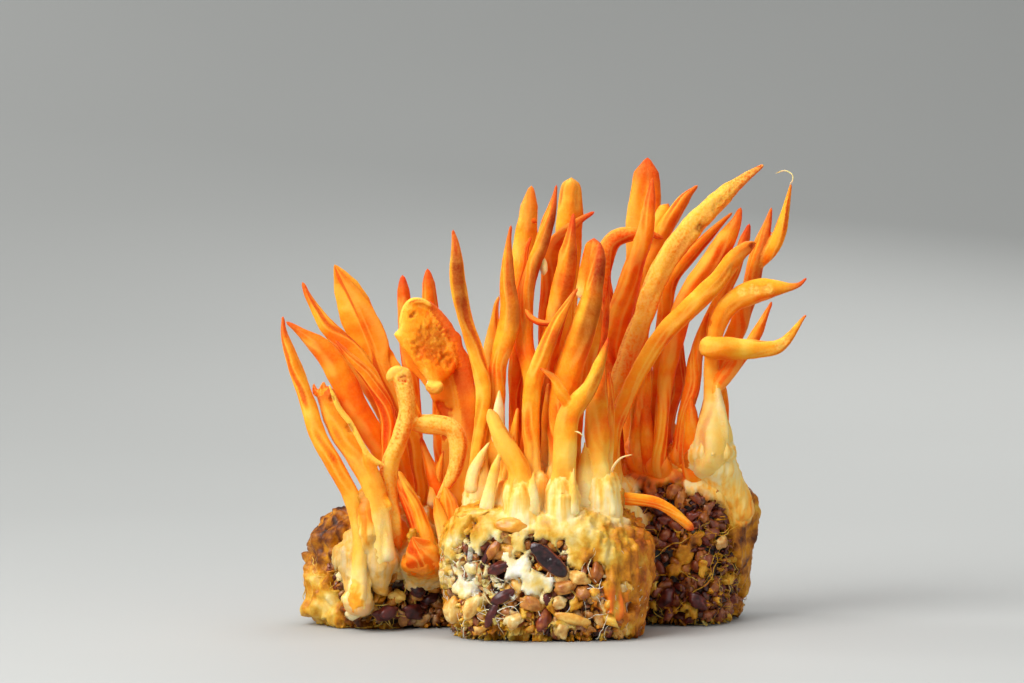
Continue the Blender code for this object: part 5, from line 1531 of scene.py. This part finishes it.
def lay_threads(cake, surface, tree, felt):
    """Fine threads that creep over the grains and wander as they go."""
    rng = random.Random(CAKES.index(cake) + 60)
    low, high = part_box(cake + "_grain_cake")
    points = []
    edges = []
    girths = []
    for _ in range(THREADS):
        angle = rng.uniform(0, 2 * math.pi)
        place = (low + high) / 2 + Vector((math.cos(angle), math.sin(angle), 0)) * 0.03
        place.z = rng.uniform(2 * MM, high.z + 2 * MM)
        way = Vector((rng.uniform(-1, 1), rng.uniform(-0.4, 0.4), rng.uniform(-1, 1))).normalized()
        steps = rng.randint(5, 16)
        girth = rng.uniform(0.4, 1.3)
        for i in range(steps):
            nearest, normal, _, _ = surface.find_nearest(place)
            spot = nearest + normal * rng.uniform(0.1, 0.7) * MM
            spot.z = max(spot.z, 0.3 * MM)
            points.append(spot)
            girths.append(girth * (0.3 + 0.7 * math.sin(math.pi * (i + 0.5) / steps)))
            if i:
                edges.append((len(points) - 2, len(points) - 1))
            jitter = Vector((rng.uniform(-1, 1), rng.uniform(-1, 1), rng.uniform(-1, 1))) * 0.5
            way = way + jitter
            way = (way - normal * way.dot(normal)).normalized()
            place = nearest + way * 0.8 * MM
    mesh = bpy.data.meshes.new(cake + "_threads")
    mesh.from_pydata(points, edges, [])
    set_attribute(mesh, "girth", girths)
    piece = run_group(new_piece(cake + "_threads", mesh), tree, {"Thickness": 0.09 * MM, "Felt": felt})
    age = {"left": 0.45, "centre": 0.1, "right": 0.55}[cake]
    set_attribute(piece.data, "age", [age] * len(piece.data.vertices))
    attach(piece, BODY)


def build_cakes():
    """Skin, crust, grains, crumbs and threads of the three cakes."""
    fill_bins()
    grains = grain_tree()
    threads = thread_tree()
    rice = cooked_grain()
    skin = mycelium_skin()
    crusts = {"left": cake_crust("mustard_cake_crust", "#7A5A1C", "#4A2A12", "#2A1208"),
              "centre": cake_crust("red_brown_cake_crust", "#6A3A26", "#3C1A14", "#1E0C0C"),
              "right": cake_crust("dark_cake_crust", "#4E2C10", "#2A1206", "#120603")}
    shades = {"left": (0.0, 0.8, 0.4, 0.4), "centre": (0.05, 0.9, 0.15, 0.4),
              "right": (0.0, 0.5, -0.3, 0.08)}
    for index, cake in enumerate(CAKES):
        whole = fuse(cake + "_whole", cake_body(cake), BODY_VOXEL, 2)
        bm = bmesh.new()
        bm.from_mesh(whole.data)
        surface = BVHTree.FromBMesh(bm)
        bm.free()
        build_skin(cake, skin)
        build_crust(cake, whole, crusts[cake])
        darkest, palest, gold, film = shades[cake]
        common = {"Darkest": darkest, "Palest": palest, "Gold Share": gold, "Film": film, "Skin": rice}
        for name, values in (
                ("_grains", {"Grains": GRAIN_BIN, "Spacing": 1.75 * MM, "Sink": -0.75 * MM,
                             "Smallest": 0.38, "Largest": 0.95, "Tilt": 0.75, "Seed": index + 3}),
                ("_crumbs", {"Grains": CRUMB_BIN, "Spacing": 1.0 * MM, "Sink": -0.6 * MM,
                             "Smallest": 0.45, "Largest": 1.1, "Tilt": 1.2, "Seed": index + 13})):
            piece = bare_faces(cake, whole, cake + name)
            run_group(piece, grains, {**common, **values})
            for vertex in piece.data.vertices:
                vertex.co.z = max(vertex.co.z, LOWEST)
            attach(piece, BODY)
        build_chunks(cake, surface, rice)
        lay_threads(cake, surface, threads, skin)
        bpy.data.objects.remove(whole)


def build_husk():
    """The large dark husk on the centre cake: a hollow lens with a curled, rusty rim."""
    bm = bmesh.new()
    solid_copy(bm, "dark_husk")
    piece = fuse("dark_husk_shell", bm, HUSK_VOXEL, 2)
    low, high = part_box("dark_husk")
    middle = (low + high) / 2
    reach = (high - low).length / 2
    places = []
    rims = []
    for vertex in piece.data.vertices:
        from_middle = math.hypot(vertex.co.x - middle.x, vertex.co.z - middle.z) / reach
        dish = -0.6 * math.exp(-from_middle ** 2 * 5) if vertex.normal.y < 0 else 0.0
        push = (dish + noise.fractal(vertex.co * 500, 1.0, 2.0, 3) * 0.3) * MM
        places.append(vertex.co + vertex.normal * push)
        rims.append((1 - blend(0.15, 0.7, -vertex.normal.y)) * 0.8)
    move_vertices(piece.data, places)
    set_attribute(piece.data, "rim", rims)
    finish_piece(piece, dark_seed_husk(), "grain_husk", "dark_husk")


# ================================================================ stage
def build_stage():
    """A pale floor that sweeps up into its backdrop with no line between them."""
    half_width, near, bend_start, bend_radius, top = 3.0, -1.6, 0.25, 1.6, 4.0
    profile = [(near, 0.0), (bend_start, 0.0)]
    for i in range(1, 17):
        angle = math.pi / 2 * i / 16
        profile.append((bend_start + bend_radius * math.sin(angle), bend_radius * (1 - math.cos(angle))))
    profile.append((bend_start + bend_radius, top))
    places = [(x, y, z - 0.0001) for y, z in profile for x in (-half_width, half_width)]
    faces = [(2 * i, 2 * i + 1, 2 * i + 3, 2 * i + 2) for i in range(len(profile) - 1)]
    mesh = bpy.data.meshes.new("floor_and_backdrop")
    mesh.from_pydata(places, [], faces)
    mesh.shade_smooth()
    mesh.materials.append(studio_paper())
    new_piece("floor_and_backdrop", mesh)


def build_lights():
    """A wide window light from the upper left, and weak fill, top and back lights."""
    world = bpy.data.worlds.new("soft_room")
    world.use_nodes = True
    background = world.node_tree.nodes["Background"]
    background.inputs["Color"].default_value = srgb("#E8EAEC")
    background.inputs["Strength"].default_value = 0.44
    bpy.context.scene.world = world
    wall = Vector((-0.4, 1.7, 0.5))
    for name, power, size, place, target in (
            ("window_light", 5.7, 0.45, (-0.4, -0.4, 0.5), AIM),
            ("fill_light", 0.7, 0.5, (0.55, -0.45, 0.2), AIM),
            ("top_light", 1.4, 0.4, (0.0, 0.0, 0.65), AIM),
            ("back_light", 1.0, 0.4, (0.2, 0.5, 0.35), AIM),
            ("backdrop_light", 10.0, 0.8, (-1.3, 0.5, 0.9), wall)):
        lamp = bpy.data.lights.new(name, "AREA")
        lamp.energy = power
        lamp.size = size
        holder = new_piece(name, lamp)
        holder.location = place
        holder.rotation_euler = (target - Vector(place)).to_track_quat("-Z", "Y").to_euler()


def build_camera():
    """A long lens, a little above level, that holds the whole bunch."""
    lens = bpy.data.cameras.new("view_from_front")
    lens.lens = LENS
    lens.sensor_width = SENSOR
    lens.clip_start = 0.01
    holder = new_piece("view_from_front", lens)
    rise = math.radians(CAMERA_RISE)
    holder.location = AIM + Vector((0, -math.cos(rise), math.sin(rise))) * CAMERA_DISTANCE
    holder.rotation_euler = (AIM - holder.location).to_track_quat("-Z", "Y").to_euler()
    bpy.context.scene.camera = holder


def main():
    """Light the stage, then grow the clubs and build the cakes under them."""
    bpy.context.scene.view_settings.view_transform = "Standard"
    build_camera()
    build_lights()
    build_stage()
    build_clubs()
    build_cakes()
    build_husk()


main()
